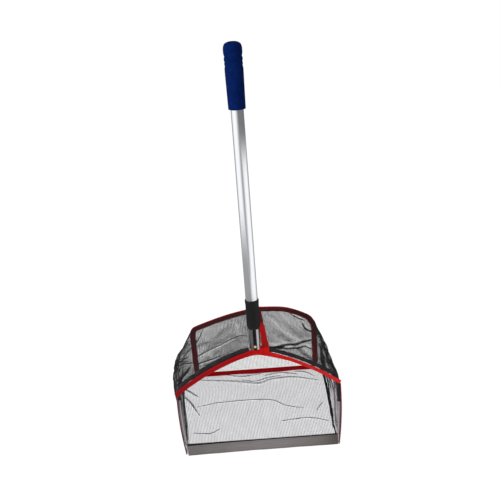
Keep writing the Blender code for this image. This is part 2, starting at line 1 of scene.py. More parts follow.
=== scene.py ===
"""The looks of the long-handled scoop net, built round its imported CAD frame.

Metres, +Z up. The net stands on its floor, its mouth faces -Y, and the mouth's frame and the pole lie in
one plane that leans back by LEAN. A place in that plane is given as (across, back, up): across along X,
back behind the plane and up the plane.
"""

import math

import bmesh
import bpy
import numpy as np
from mathutils import Matrix, Vector


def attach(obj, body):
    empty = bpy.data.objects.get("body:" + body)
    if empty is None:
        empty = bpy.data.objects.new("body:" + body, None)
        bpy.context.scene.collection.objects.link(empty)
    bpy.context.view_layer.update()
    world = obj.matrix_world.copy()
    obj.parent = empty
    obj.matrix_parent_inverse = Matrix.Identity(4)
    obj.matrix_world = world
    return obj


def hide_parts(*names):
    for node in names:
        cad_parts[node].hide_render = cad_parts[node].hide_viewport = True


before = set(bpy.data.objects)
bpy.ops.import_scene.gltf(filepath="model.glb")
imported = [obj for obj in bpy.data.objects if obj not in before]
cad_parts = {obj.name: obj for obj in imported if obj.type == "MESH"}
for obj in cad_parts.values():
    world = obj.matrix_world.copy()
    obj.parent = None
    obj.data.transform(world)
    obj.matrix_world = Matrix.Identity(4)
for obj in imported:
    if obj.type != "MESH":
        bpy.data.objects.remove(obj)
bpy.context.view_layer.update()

# ---- The mouth's lines, as in the CAD model ----
LEAN = math.radians(11.5)
MOUTH_HALF_BOTTOM = 0.1639
MOUTH_HALF_TOP = 0.1725
SIDE_BOW = 0.0033
SHOULDER_HEIGHT = 0.146
APEX_HEIGHT = 0.2275
GABLE_SLOPE = 0.24
GABLE_CURVE = 1.52
GABLE_NOSE = 0.010
HEM_OUT = 0.0112
HEM_IN = 0.0058
RIDGE_FRONT_X = 0.0188

# ---- The bag's rear outline, seen from the front as (x, z) ----
BAG_DEPTH = 0.2735
REAR_LEFT_X = -0.1505
REAR_RIGHT_X = 0.1430
REAR_CORNER = 0.016
ARCH_LEFT = [(-0.1505, 0.1130), (-0.1460, 0.1310), (-0.1300, 0.1420), (-0.0600, 0.1660), (0.0110, 0.1815)]
ARCH_RIGHT = [(0.1430, 0.1180), (0.1370, 0.1340), (0.1220, 0.1520), (0.0730, 0.1750), (0.0110, 0.1815)]

# ---- The floor's side seams, as (depth, x) ----
SEAM_LEFT = [(0.000, -0.1625), (0.032, -0.1590), (0.100, -0.1640), (0.170, -0.1715), (0.215, -0.1725)]
SEAM_LEFT += [(0.250, -0.1640), (0.2735, -0.1500)]
SEAM_RIGHT = [(0.000, 0.1625), (0.038, 0.1580), (0.130, 0.1575), (0.233, 0.1555), (0.255, 0.1520)]
SEAM_RIGHT += [(0.2735, 0.1425)]
SHOULDER_BULGE = {-1: 0.0205, 1: 0.0045}

# ---- The netting ----
PITCH = 0.0033
THREAD = 0.00046
ROOF_THREAD = {-1: 0.00064, 1: 0.00056}
BACK_THREAD = 0.00056
FLOOR_THREAD = 0.00057
FOLD_PITCH = 0.0015
SIDE_WIDTH = 0.147
ROOF_WIDTH = 0.186
SIDE_LENGTH = 0.262
FLOOR_WIDTH = 0.325
FLOOR_CLEARANCE = 0.0003


# ==== Lines and frames ====
def plane_points(across, back, up):
    """World points of places given in the mouth's plane."""
    across, back, up = np.broadcast_arrays(across, back, up)
    depth = back * math.cos(LEAN) + up * math.sin(LEAN)
    height = up * math.cos(LEAN) - back * math.sin(LEAN)
    return np.stack([across, depth, height], axis=-1)


ACROSS = np.array((1.0, 0.0, 0.0))
FRONT = -plane_points(0.0, 1.0, 0.0)
UP_PLANE = plane_points(0.0, 0.0, 1.0)


def unit(vectors):
    return vectors / np.maximum(np.linalg.norm(vectors, axis=-1, keepdims=True), 1e-12)


def side_line(height):
    """Half the mouth's width at a height up its plane."""
    part = height / SHOULDER_HEIGHT
    straight = MOUTH_HALF_BOTTOM + (MOUTH_HALF_TOP - MOUTH_HALF_BOTTOM) * part
    return straight + 4 * SIDE_BOW * part * (1 - part)


def gable_point(x, out):
    """(x, height) at a distance out from the gable's lower edge, along the edge's upward normal."""
    root = np.hypot(x, GABLE_NOSE)
    height = APEX_HEIGHT - GABLE_SLOPE * (root - GABLE_NOSE) - GABLE_CURVE * x * x
    fall = GABLE_SLOPE * x / root + 2 * GABLE_CURVE * x
    size = np.hypot(fall, 1.0)
    return x + out * fall / size, height + out / size


def resample(points, count):
    """Evenly spaced points along a polyline."""
    points = np.asarray(points, float)
    steps = np.linalg.norm(np.diff(points, axis=0), axis=1)
    along = np.concatenate(([0.0], np.cumsum(steps)))
    wanted = np.linspace(0, along[-1], count)
    return np.stack([np.interp(wanted, along, column) for column in points.T], axis=-1)


def catmull(points, steps=12):
    """A smooth curve through the points."""
    points = np.asarray(points, float)
    guides = np.vstack([2 * points[0] - points[1], points, 2 * points[-1] - points[-2]])
    smooth = []
    for a, b, c, d in zip(guides, guides[1:], guides[2:], guides[3:]):
        for t in np.arange(steps) / steps:
            bend = (2 * a - 5 * b + 4 * c - d) * t**2 + (3 * b - a - 3 * c + d) * t**3
            smooth.append(0.5 * (2 * b + (c - a) * t + bend))
    smooth.append(points[-1])
    return np.array(smooth)


def soften(points, reach, rounds=1):
    """The polyline with its corners rounded by averaging neighbours; its ends stay."""
    points = np.array(points, float)
    kernel = np.ones(2 * reach + 1) / (2 * reach + 1)
    for _ in range(rounds):
        padded = np.vstack([np.repeat(points[:1], reach, 0), points, np.repeat(points[-1:], reach, 0)])
        middle = np.stack([np.convolve(column, kernel, "valid") for column in padded.T], axis=-1)
        middle[0], middle[-1] = points[0], points[-1]
        points = middle
    return points


def length_of(points):
    return np.linalg.norm(np.diff(points, axis=0), axis=-1).sum()


def hill(x, middle, width):
    """A smooth bump of height 1."""
    return np.exp(-(((x - middle) / width) ** 2))


def circle(count):
    """Evenly spaced angles, once round."""
    return np.linspace(0, 2 * math.pi, count, endpoint=False)


def smooth_step(value, start, end):
    share = np.clip((value - start) / (end - start), 0, 1)
    return share * share * (3 - 2 * share)


# ==== Making meshes ====
def link_mesh(name, mesh, sharp_degrees=None):
    mesh.shade_smooth()
    if sharp_degrees:
        mesh.set_sharp_from_angle(angle=math.radians(sharp_degrees))
    made = bpy.data.objects.new(name, mesh)
    bpy.context.scene.collection.objects.link(made)
    return made


def quad_mesh(name, points, quads):
    """A mesh of many quads, made quickly."""
    mesh = bpy.data.meshes.new(name)
    quads = np.asarray(quads, np.int32)
    mesh.vertices.add(len(points))
    mesh.vertices.foreach_set("co", np.asarray(points, np.float32).ravel())
    mesh.loops.add(quads.size)
    mesh.loops.foreach_set("vertex_index", quads.ravel())
    mesh.polygons.add(len(quads))
    mesh.polygons.foreach_set("loop_start", np.arange(0, quads.size, 4, dtype=np.int32))
    mesh.update(calc_edges=True)
    return mesh


def solid(name, points, faces, sharp_degrees=50):
    """A closed mesh with its faces turned outwards."""
    mesh = bpy.data.meshes.new(name)
    mesh.from_pydata(np.asarray(points).tolist(), [], [list(map(int, face)) for face in faces])
    skin = bmesh.new()
    skin.from_mesh(mesh)
    bmesh.ops.recalc_face_normals(skin, faces=skin.faces[:])
    skin.to_mesh(mesh)
    skin.free()
    return link_mesh(name, mesh, sharp_degrees)


def ring_quads(rings, around, closed=False):
    """Quads between rings that each have the same number of points around."""
    i = np.arange(rings if closed else rings - 1)[:, None]
    j = np.arange(around)[None, :]
    here, there = i * around, ((i + 1) % rings) * around
    after = (j + 1) % around
    return np.stack([here + j, here + after, there + after, there + j], axis=-1).reshape(-1, 4)


def end_caps(rings, around):
    """A face over the first ring and one over the last."""
    return [list(range(around)), list(range((rings - 1) * around, rings * around))]


def each_place(section, path):
    """A copy of the section for every point of a path."""
    return np.repeat(section[None], len(path), axis=0)


def sweep(name, path, across, out, section, closed=False, sharp_degrees=50):
    """A section of (across, out) points carried along a path; the section may differ at each point."""
    path, section = np.asarray(path, float), np.asarray(section, float)
    across, out = np.broadcast_to(across, path.shape), np.broadcast_to(out, path.shape)
    section = np.broadcast_to(section, (len(path), *section.shape[-2:]))
    rings = path[:, None] + section[..., :1] * across[:, None] + section[..., 1:] * out[:, None]
    around = section.shape[1]
    faces = ring_quads(len(path), around, closed).tolist()
    if not closed:
        faces += end_caps(len(path), around)
    return solid(name, rings.reshape(-1, 3), faces, sharp_degrees)


def rounded(width, thickness, corner, low=0.0, steps=4):
    """A rounded rectangle that runs from low to low + width across, centred on zero thickness."""
    half = thickness / 2
    corner = min(corner, half * 0.999, width / 2)
    points = []
    for cx, cy, start in (
        (low + width - corner, half - corner, 0),
        (low + corner, half - corner, 90),
        (low + corner, corner - half, 180),
        (low + width - corner, corner - half, 270),
    ):
        for angle in np.radians(start + np.linspace(0, 90, steps)):
            points.append((cx + corner * math.cos(angle), cy + corner * math.sin(angle)))
    return np.array(points)


def oval(half_across, half_out, count=20):
    turn = circle(count)
    return np.stack([half_across * np.cos(turn), half_out * np.sin(turn)], axis=-1)


def lathe(name, profile, around=96, sharp_degrees=35):
    """A round piece on the pole's axis, from (radius, height up the plane) points.

    The profile is a closed loop, or starts and ends on the axis.
    """
    profile = np.asarray(profile, float)
    to_axis = profile[0, 0] == 0
    body = profile[1:-1] if to_axis else profile
    turn = circle(around)
    radius, height = body[:, :1], body[:, 1:]
    points = plane_points(radius * np.cos(turn), -radius * np.sin(turn), height).reshape(-1, 3)
    faces = ring_quads(len(body), around, not to_axis).tolist()
    if to_axis:
        faces += end_caps(len(body), around)
    return solid(name, points, faces, sharp_degrees)


def finish_piece(made, look, slot, body, *replaced):
    made.data.materials.append(look)
    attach(made, body)
    if replaced:
        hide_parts(*replaced)
    return made


# ==== Cloth surfaces and netting ====
class Surface:
    """A grid of points, with a place for every row and every column."""

    def __init__(self, points, rows, columns):
        self.points, self.rows, self.columns = points, np.asarray(rows), np.asarray(columns)
        self.down = unit(np.gradient(points, axis=0))
        self.along = unit(np.gradient(points, axis=1))
        self.normals = unit(np.cross(self.down, self.along))
        row_steps = np.linalg.norm(np.diff(points, axis=0), axis=-1).mean(axis=1)
        column_steps = np.linalg.norm(np.diff(points, axis=1), axis=-1).mean(axis=0)
        flat_rows = np.concatenate(([0.0], np.cumsum(row_steps)))
        flat_columns = np.concatenate(([0.0], np.cumsum(column_steps)))
        self.flat = np.stack(np.meshgrid(flat_rows, flat_columns, indexing="ij"), axis=-1)

    def read(self, values, route):
        """Values of the grid at the (row place, column place) points of a route."""
        i = np.interp(route[:, 0], self.rows, np.arange(len(self.rows)))
        j = np.interp(route[:, 1], self.columns, np.arange(len(self.columns)))
        i0 = np.clip(i.astype(int), 0, len(self.rows) - 2)
        j0 = np.clip(j.astype(int), 0, len(self.columns) - 2)
        a, b = (i - i0)[:, None], (j - j0)[:, None]
        near = values[i0, j0] * (1 - b) + values[i0, j0 + 1] * b
        far = values[i0 + 1, j0] * (1 - b) + values[i0 + 1, j0 + 1] * b
        return near * (1 - a) + far * a

    def ridge(self, route, width, height, gather=0.45):
        """The surface raised in a ridge along a route, with the cloth beside it drawn in."""
        flat_route = self.read(self.flat, catmull(route, 6))
        best = np.full(self.flat.shape[:2], np.inf)
        nearest = np.zeros(self.flat.shape)
        part = np.zeros(self.flat.shape[:2])
        for k, (start, end) in enumerate(zip(flat_route, flat_route[1:])):
            run = end - start
            t = np.clip((self.flat - start) @ run / max(run @ run, 1e-12), 0, 1)
            foot = start + t[..., None] * run
            gap = np.linalg.norm(self.flat - foot, axis=-1)
            closer = gap < best
            best = np.where(closer, gap, best)
            nearest = np.where(closer[..., None], foot, nearest)
            part = np.where(closer, (k + t) / (len(flat_route) - 1), part)
        fade = np.sin(math.pi * np.clip(part, 0.02, 0.98)) ** 0.5 * np.exp(-((best / width) ** 2))
        pull = (nearest - self.flat) * (gather * fade)[..., None]
        moved = self.normals * (height * fade)[..., None] + self.down * pull[..., :1]
        moved = moved + self.along * pull[..., 1:]
        return Surface(self.points + moved, self.rows, self.columns)

    def fold(self, route, width, count_plies, lift=0.0007):
        """Grids of the plies of a narrow fold that lies along a route, tapered at both ends."""
        route = catmull(route, 8)
        line = self.read(self.points, route)
        count = max(8, round(length_of(line) / (FOLD_PITCH * 1.6)))
        route = resample(route, count)
        line, normal = self.read(self.points, route), unit(self.read(self.normals, route))
        side = unit(np.cross(normal, np.gradient(line, axis=0)))
        taper = np.clip(np.sin(math.pi * np.linspace(0, 1, count)), 0.08, 1) ** 0.6 * width / 2
        across = np.linspace(-1, 1, max(3, round(width / FOLD_PITCH)))
        plies = []
        for ply in range(1, count_plies + 1):
            rise = lift * ply + 0.22 * taper[None, :] * (1 - across[:, None] ** 2)
            shift = across[:, None] * taper[None, :] + 0.5 * FOLD_PITCH * (ply - 1)
            plies.append(line[None] + side[None] * shift[..., None] + normal[None] * rise[..., None])
        return plies


def thread_prisms(lines, normals, keep, size):
    """Three-sided threads along every line, open at their ends, where both ends of a stretch are kept."""
    side = unit(np.cross(np.gradient(lines, axis=1), normals))
    radius = size[..., None] / math.sqrt(3)
    corners = [
        lines + radius * (math.cos(angle) * side + math.sin(angle) * normals)
        for angle in np.radians((90, 210, 330))
    ]
    points = np.stack(corners, axis=2)
    index = np.arange(points[..., 0].size).reshape(points.shape[:3])
    here, there = index[:, :-1], index[:, 1:]
    quads = np.stack([here, np.roll(here, -1, 2), np.roll(there, -1, 2), there], axis=-1)
    return points.reshape(-1, 3), quads[keep[:, :-1] & keep[:, 1:]].reshape(-1, 4)


def weave(grid, keep=None, size=THREAD):
    """Threads both ways through a grid of crossings, each over one crossing and under the next.

    The size is one thickness, or one for every row.
    """
    size = np.broadcast_to(np.reshape(size, (-1, 1)), grid.shape[:2])
    if keep is None:
        keep = np.ones(grid.shape[:2], bool)
    normals = unit(np.cross(np.gradient(grid, axis=0), np.gradient(grid, axis=1)))
    i, j = np.indices(grid.shape[:2])
    rise = normals * (np.where((i + j) % 2 == 0, 0.45, -0.45) * size)[..., None]
    down, down_quads = thread_prisms(
        (grid + rise).swapaxes(0, 1), normals.swapaxes(0, 1), keep.swapaxes(0, 1), size.swapaxes(0, 1)
    )
    along, along_quads = thread_prisms(grid - rise, normals, keep, size)
    return np.vstack([down, along]), np.vstack([down_quads, along_quads + len(down)])


def netting(name, woven):
    """One mesh of several woven pieces, without the points that no thread uses."""
    points, quads, count = [], [], 0
    for some_points, some_quads in woven:
        points.append(some_points)
        quads.append(some_quads + count)
        count += len(some_points)
    points, quads = np.vstack(points), np.vstack(quads)
    points[:, 2] = np.maximum(points[:, 2], FLOOR_CLEARANCE)
    used, fresh = np.unique(quads, return_inverse=True)
    return link_mesh(name, quad_mesh(name, points[used], fresh.reshape(-1, 4)))


HEAVY_FOLD = 0.0050


def folded_net(name, surface, folds, size, plies=2):
    """A net with its folds: each is (route, width of the fold, height of the ridge under it).

    A heavy fold has one ply more than the others.
    """
    for route, width, height in folds:
        surface = surface.ridge(route, width * 0.9, height)
    woven = [weave(surface.points, size=size)]
    for route, width, _ in folds:
        count = plies + (width >= HEAVY_FOLD)
        woven += [weave(ply) for ply in surface.fold(route, width, count)]
    return netting(name, woven), surface


# ==== The bag ====
def rear_arch(sign):
    return catmull(ARCH_LEFT if sign < 0 else ARCH_RIGHT)


def panel_front(sign, count_side, count_roof):
    """(x, height up the plane) points where a side panel meets the mouth, from the floor to the ridge."""
    height = np.linspace(0.0012, SHOULDER_HEIGHT + 0.004, 80)
    side = np.stack([sign * (side_line(height) - 0.0010), height], axis=-1)
    x, up = gable_point(np.linspace(0.158, RIDGE_FRONT_X * sign, 120), HEM_OUT)
    whole = soften(np.vstack([side, np.stack([sign * x, up], axis=-1)]), 4, 2)
    return np.vstack([resample(whole[:80], count_side), resample(whole[79:], count_roof + 1)[1:]])


def panel_rear(sign, count_side, count_roof):
    arch = rear_arch(sign)
    foot = np.array((REAR_LEFT_X if sign < 0 else REAR_RIGHT_X, 0.0012))
    return np.vstack([resample([foot, arch[0]], count_side), resample(arch, count_roof + 1)[1:]])


def seam_x(sign, depth):
    seam = catmull(SEAM_LEFT if sign < 0 else SEAM_RIGHT)
    return np.interp(depth, seam[:, 0], seam[:, 1])


def ripples(across, depth, waves):
    """A wander made of a few plane waves, each (height, turns across, turns along, phase)."""
    total = 0.0
    for height, turns_across, turns_along, phase in waves:
        total = total + height * np.sin(2 * math.pi * (turns_across * across + turns_along * depth) + phase)
    return total


SIDE_WAVES = {
    -1: [
        (0.0009, 0.9, 2.1, 0.4), (0.0007, 2.3, -1.2, 2.0),
        (0.0005, 3.9, 2.8, 4.4), (0.0004, -2.1, 5.2, 1.1),
    ],
    1: [
        (0.0015, 1.1, 1.6, 2.9), (0.0012, 1.9, -2.4, 0.7),
        (0.0007, -3.4, 3.1, 3.5), (0.0005, 4.8, 1.7, 5.0),
    ],
}


def side_surface(sign):
    """A side and its half of the roof. Rows run 0 to 1 up the side and on to 2 at the ridge."""
    count_side, count_roof = round(SIDE_WIDTH / PITCH), round(ROOF_WIDTH / PITCH)
    front, rear = panel_front(sign, count_side, count_roof), panel_rear(sign, count_side, count_roof)
    start = plane_points(front[:, 0], 0.0015, front[:, 1])
    end = np.stack([rear[:, 0], np.full(len(rear), BAG_DEPTH - 0.0030), rear[:, 1]], axis=-1)
    depth = np.linspace(0, 1, round(SIDE_LENGTH / PITCH))
    rows = np.concatenate([np.linspace(0, 1, count_side), 1 + np.linspace(0, 1, count_roof + 1)[1:]])
    points = start[:, None] * (1 - depth)[None, :, None] + end[:, None] * depth[None, :, None]

    side_share = np.clip(rows, 0, 1)[:, None]
    roof_share = np.clip(rows - 1, 0, 1)[:, None]
    arc = np.sin(math.pi * depth)[None, :]
    seam_shift = seam_x(sign, points[0, :, 1]) - points[0, :, 0]
    shoulder_shift = sign * SHOULDER_BULGE[sign] * arc**0.8
    belly = sign * 0.0045 * np.sin(math.pi * side_share) * arc
    on_side = seam_shift[None, :] * (1 - side_share) ** 1.5 + shoulder_shift * side_share**1.2 + belly
    points[..., 0] += on_side * np.clip(1 - roof_share * 2.2, 0, 1) ** 1.5
    points[..., 2] -= 0.007 * np.sin(math.pi * roof_share) * arc
    points[..., 2] -= 0.0035 * hill(roof_share, 0.25, 0.25) * np.sin(2 * math.pi * depth)[None, :] ** 2

    surface = Surface(points, rows, depth)
    edge_fade = np.clip(np.sin(math.pi * rows / 2), 0, 1)[:, None] ** 0.7 * arc**0.7
    wander = ripples(rows[:, None], depth[None, :], SIDE_WAVES[sign]) * edge_fade
    return Surface(points + surface.normals * wander[..., None], rows, depth)


# Folds in a side and its roof: a route of (row place, depth), the fold's width, the ridge's height.
LEFT_FOLDS = [
    ([(1.23, 0.38), (1.39, 0.37), (1.54, 0.38), (1.66, 0.41), (1.76, 0.43)], 0.0026, 0.0016),
    ([(1.20, 0.31), (1.30, 0.19), (1.43, 0.14), (1.52, 0.12)], 0.0036, 0.0018),
    ([(0.89, 0.65), (1.07, 0.46), (1.17, 0.41)], 0.0030, 0.0003),
    ([(0.98, 0.52), (1.08, 0.42), (1.18, 0.35)], 0.0030, 0.0003),
    ([(0.95, 0.34), (1.11, 0.35), (1.20, 0.30)], 0.0030, 0.0003),
    ([(1.20, 0.26), (1.17, 0.17), (1.10, 0.08), (1.02, 0.03)], 0.0064, 0.0012),
    ([(0.30, 0.95), (0.26, 0.91), (0.39, 0.71), (0.57, 0.49)], 0.0056, 0.0014),
    ([(0.62, 0.92), (0.80, 0.66), (0.90, 0.44), (0.94, 0.26)], 0.0040, 0.0004),
    ([(0.20, 0.93), (0.46, 0.70), (0.68, 0.44), (0.84, 0.22)], 0.0046, 0.0005),
    ([(0.98, 0.78), (1.03, 0.60), (1.00, 0.40), (1.05, 0.22)], 0.0030, 0.0003),
    ([(0.74, 0.76), (0.92, 0.54), (1.06, 0.30)], 0.0026, 0.0003),
    ([(0.04, 0.84), (0.24, 0.62), (0.46, 0.42), (0.66, 0.26)], 0.0046, 0.0012),
    ([(1.30, 0.90), (1.24, 0.66), (1.12, 0.40), (1.06, 0.16)], 0.0036, 0.0012),
]
RIGHT_FOLDS = [
    ([(1.95, 0.09), (1.80, 0.19), (1.64, 0.29), (1.48, 0.40), (1.36, 0.50), (1.25, 0.56)], 0.0050, 0.0022),
    ([(1.90, 0.07), (1.62, 0.21), (1.45, 0.35), (1.39, 0.36), (1.32, 0.35)], 0.0046, 0.0022),
    ([(1.94, 0.08), (1.84, 0.14), (1.74, 0.19)], 0.0100, 0.0024),
    ([(1.55, 0.92), (1.44, 0.90), (1.34, 0.88)], 0.0034, 0.0018),
    ([(1.36, 0.82), (1.32, 0.76), (1.22, 0.73)], 0.0056, 0.0022),
    ([(1.12, 0.70), (1.12, 0.53), (1.21, 0.26), (1.23, 0.03)], 0.0044, 0.0014),
    ([(0.86, 0.91), (0.92, 0.66), (1.02, 0.42), (1.05, 0.14)], 0.0054, 0.0014),
    ([(0.73, 0.86), (0.80, 0.58), (0.90, 0.38), (0.88, 0.20)], 0.0048, 0.0014),
    ([(0.60, 0.90), (0.62, 0.66), (0.66, 0.50), (0.62, 0.36)], 0.0046, 0.0016),
    ([(0.34, 0.91), (0.44, 0.70), (0.40, 0.58), (0.36, 0.44)], 0.0054, 0.0016),
    ([(0.16, 0.87), (0.24, 0.70), (0.18, 0.54), (0.14, 0.36)], 0.0054, 0.0016),
]


# How the cloth is gathered above the floor seams: (row place, where it starts along the depth, how much
# wider its folds are at the back).
SEAM_GATHERS = {-1: [(0.032, 0.02, 0.005)], 1: [(0.032, 0.02, 0.012), (0.095, 0.26, 0.006)]}
SEAM_FOLD = 0.0042


def seam_folds(sign):
    """The cloth gathered along the floor seam, in short overlapping folds."""
    folds = []
    for row, first, widening in SEAM_GATHERS[sign]:
        for start in np.linspace(first, 0.78, 6):
            route = [(row, start), (row + 0.028, start + 0.10), (row, start + 0.20)]
            folds.append((route, SEAM_FOLD + widening * start, 0.0010))
    return folds


def make_side_nets():
    nets, surfaces = {}, {}
    for name, sign, folds in (("left", -1, LEFT_FOLDS), ("right", 1, RIGHT_FOLDS)):
        surface = side_surface(sign)
        size = THREAD + (ROOF_THREAD[sign] - THREAD) * smooth_step(surface.rows, 1.0, 1.2)
        panel, surfaces[sign] = folded_net("net_" + name, surface, folds + seam_folds(sign), size)
        nets[name] = finish_piece(panel, SIDE_NET, "black_mesh", "net", "bag_" + name)
    return nets, surfaces


# Folds in the floor: a route of (share of the width, share of the depth), width, height.
FLOOR_FOLDS = [
    ([(0.08, 0.55), (0.24, 0.59), (0.45, 0.59), (0.60, 0.57), (0.69, 0.49), (0.81, 0.44)], 0.0024, 0.0008),
    ([(0.04, 0.92), (0.34, 0.86), (0.52, 0.81), (0.61, 0.85), (0.77, 0.86), (0.94, 0.80)], 0.0046, 0.0012),
    ([(0.79, 0.94), (0.86, 0.92), (0.92, 0.86)], 0.0034, 0.0010),
    ([(0.26, 0.96), (0.40, 0.92), (0.54, 0.94)], 0.0030, 0.0010),
    ([(0.56, 0.91), (0.68, 0.93), (0.80, 0.90)], 0.0034, 0.0010),
    ([(0.40, 0.87), (0.50, 0.84), (0.60, 0.88), (0.68, 0.89)], 0.0030, 0.0010),
    ([(0.65, 0.30), (0.75, 0.31), (0.86, 0.31), (0.97, 0.26)], 0.0024, 0.0010),
    ([(0.03, 0.23), (0.15, 0.21), (0.22, 0.26)], 0.0024, 0.0008),
    ([(0.00, 0.80), (0.04, 0.76), (0.10, 0.68)], 0.0034, 0.0014),
    ([(0.00, 0.79), (0.04, 0.75), (0.08, 0.70)], 0.0030, 0.0006),
    ([(0.00, 0.71), (0.04, 0.62), (0.07, 0.51), (0.09, 0.44)], 0.0034, 0.0014),
    ([(0.00, 0.69), (0.04, 0.60), (0.07, 0.50)], 0.0030, 0.0006),
    ([(0.90, 0.40), (0.95, 0.50)], 0.0024, 0.0008),
]


def floor_surface():
    front_y, rear_y = 0.004, BAG_DEPTH - 0.001
    y = np.linspace(front_y, rear_y, round((rear_y - front_y) / PITCH))
    share = np.linspace(0, 1, round(FLOOR_WIDTH / PITCH))
    left, right = seam_x(-1, y), seam_x(1, y)
    x = left[None, :] * (1 - share[:, None]) + right[None, :] * share[:, None]
    depth = (y - front_y) / (rear_y - front_y)
    puff = 0.0012 * np.sin(math.pi * share)[:, None] * np.sin(math.pi * depth)[None, :]
    wander = ripples(share[:, None], depth[None, :], [(0.0005, 1.6, 2.2, 0.3), (0.0003, -3.1, 3.7, 1.9)])
    z = 0.0012 + puff + wander * np.sin(math.pi * depth)[None, :]
    return Surface(np.stack([x, np.broadcast_to(y, x.shape), z], axis=-1), share, depth)


def make_floor_net():
    floor, _ = folded_net("net_floor", floor_surface(), FLOOR_FOLDS, FLOOR_THREAD, plies=1)
    finish_piece(floor, FLOOR_NET_PAINTED_TINT, "black_mesh", "net", "bag_floor")
    return floor


def rear_outline(inset=0.0):
    """The rear panel's outline, once round from its bottom left corner, and its inward directions."""
    corner = REAR_CORNER
    turn = np.radians(np.linspace(0, 90, 9))
    left = np.stack([REAR_LEFT_X + corner - corner * np.sin(turn), corner - corner * np.cos(turn)], axis=-1)
    right = np.stack([REAR_RIGHT_X - corner + corner * np.sin(turn), corner - corner * np.cos(turn)], axis=-1)
    top = np.vstack([rear_arch(-1), rear_arch(1)[-2::-1]])
    outline = resample(np.vstack([left, top, right[::-1], left[:1]]), 301)[:-1]
    along = unit(np.roll(outline, -1, 0) - np.roll(outline, 1, 0))
    inwards = np.stack([along[:, 1], -along[:, 0]], axis=-1)
    return outline + inwards * inset, inwards


def inside(points, outline):
    """Which points lie inside a closed outline."""
    x, y = points[..., 0], points[..., 1]
    within = np.zeros(points.shape[:-1], bool)
    for (ax, ay), (bx, by) in zip(outline, np.roll(outline, -1, 0)):
        if ay != by:
            within ^= ((ay > y) != (by > y)) & (x < ax + (y - ay) * (bx - ax) / (by - ay))
    return within


def make_back_net():
    outline, _ = rear_outline(0.003)
    low, high = outline.min(0), outline.max(0)
    x, z = np.arange(low[0], high[0], PITCH), np.arange(low[1], high[1], PITCH)
    flat = np.stack(np.meshgrid(x, z, indexing="ij"), axis=-1)
    share = (flat - low) / (high - low)
    slack = 0.0028 * np.sin(math.pi * share[..., 0]) * np.sin(math.pi * share[..., 1])
    grid = np.stack([flat[..., 0], BAG_DEPTH + slack, flat[..., 1]], axis=-1)
    back = netting("net_back", [weave(grid, keep=inside(flat, outline), size=BACK_THREAD)])
    finish_piece(back, BLACK_NET, "black_mesh", "net", "bag_back")
    return back


# ==== Tapes, sleeves and stitches ====
def stitches(name, path, normals, look, spacing=0.0034, length=0.0023, radius=0.00028):
    """A row of short raised stitches along a path."""
    count = int(length_of(path) / spacing)
    middle = resample(path, count * 2 + 1)[1::2]
    normal = unit(resample(np.broadcast_to(normals, path.shape) + 0.0, count * 2 + 1)[1::2])
    run = unit(np.gradient(middle, axis=0))
    side = unit(np.cross(run, normal))
    around, points, faces = 6, [], []
    turn = circle(around)
    for share, size in ((-0.5, 0.35), (-0.3, 0.95), (0.3, 0.95), (0.5, 0.35)):
        for angle in turn:
            offset = radius * size * (math.cos(angle) * side + math.sin(angle) * normal)
            points.append(middle + run * share * length + offset)
    points = np.stack(points, axis=1)
    rings = ring_quads(4, around)
    each = points.shape[1]
    for k in range(count):
        faces += (rings + k * each).tolist()
        faces += [[k * each + j for j in range(around)], [k * each + 3 * around + j for j in range(around)]]
    made = solid(name, points.reshape(-1, 3), faces)
    return finish_piece(made, look, "red_tape", "net")


def make_rear_tape():
    """The tape folded over the sprung wire, and its second leaf where it turns under onto the floor."""
    outline, inwards = rear_outline()
    path = np.stack([outline[:, 0], np.full(len(outline), BAG_DEPTH), outline[:, 1]], axis=-1)
    across = np.stack([inwards[:, 0], np.zeros(len(inwards)), inwards[:, 1]], axis=-1)
    turns = np.radians(np.linspace(120, -120, 13))
    bead = [(0.0016 - 0.0024 * math.cos(turn), 0.0024 * math.sin(turn)) for turn in turns]
    section = np.array([(0.0122, 0.0005), (0.0116, 0.0009)] + bead + [(0.0116, -0.0009), (0.0122, -0.0005)])
    sections = each_place(section, path)
    low_edge = np.clip(1 - outline[:, 1] / 0.004, 0, 1) * (inwards[:, 1] > 0.9)
    sections[..., 0] *= (1 - 0.65 * low_edge)[:, None]
    tape = sweep("rear_binding", path, across, (0.0, 1.0, 0.0), sections, closed=True)
    finish_piece(tape, SHADED_RED, "red_tape", "net", "rear_tape")
    x = np.linspace(REAR_LEFT_X + 0.010, REAR_RIGHT_X - 0.008, 120)
    line = np.stack([x, np.full(len(x), BAG_DEPTH - 0.0005), np.full(len(x), 0.0030)], axis=-1)
    line[:, 2] += 0.0003 * np.sin(x * 90)
    leaf_width = 0.0138 + 0.0007 * np.sin(x * 35 + 1.0)
    sections = each_place(rounded(1.0, 0.0010, 0.0004), x)
    sections[..., 0] *= leaf_width[:, None]
    leaf = sweep("rear_binding_leaf", line, (0.0, -1.0, 0.0), (0.0, 0.0, 1.0), sections)
    finish_piece(leaf, SHADED_RED, "red_tape", "net")
    seam = path + across * 0.0100 + np.array((0.0, -0.0012, 0.0))
    seam = seam[outline[:, 1] > 0.012]
    row = stitches("rear_stitching", seam, np.array((0.0, -1.0, 0.0)), RED_THREAD)
    front_row = line + np.array((0.0, -0.0118, 0.0007))
    leaf_row = stitches("rear_leaf_stitching", front_row, np.array((0.0, 0.0, 1.0)), RED_THREAD)
    return [tape, leaf, row, leaf_row]


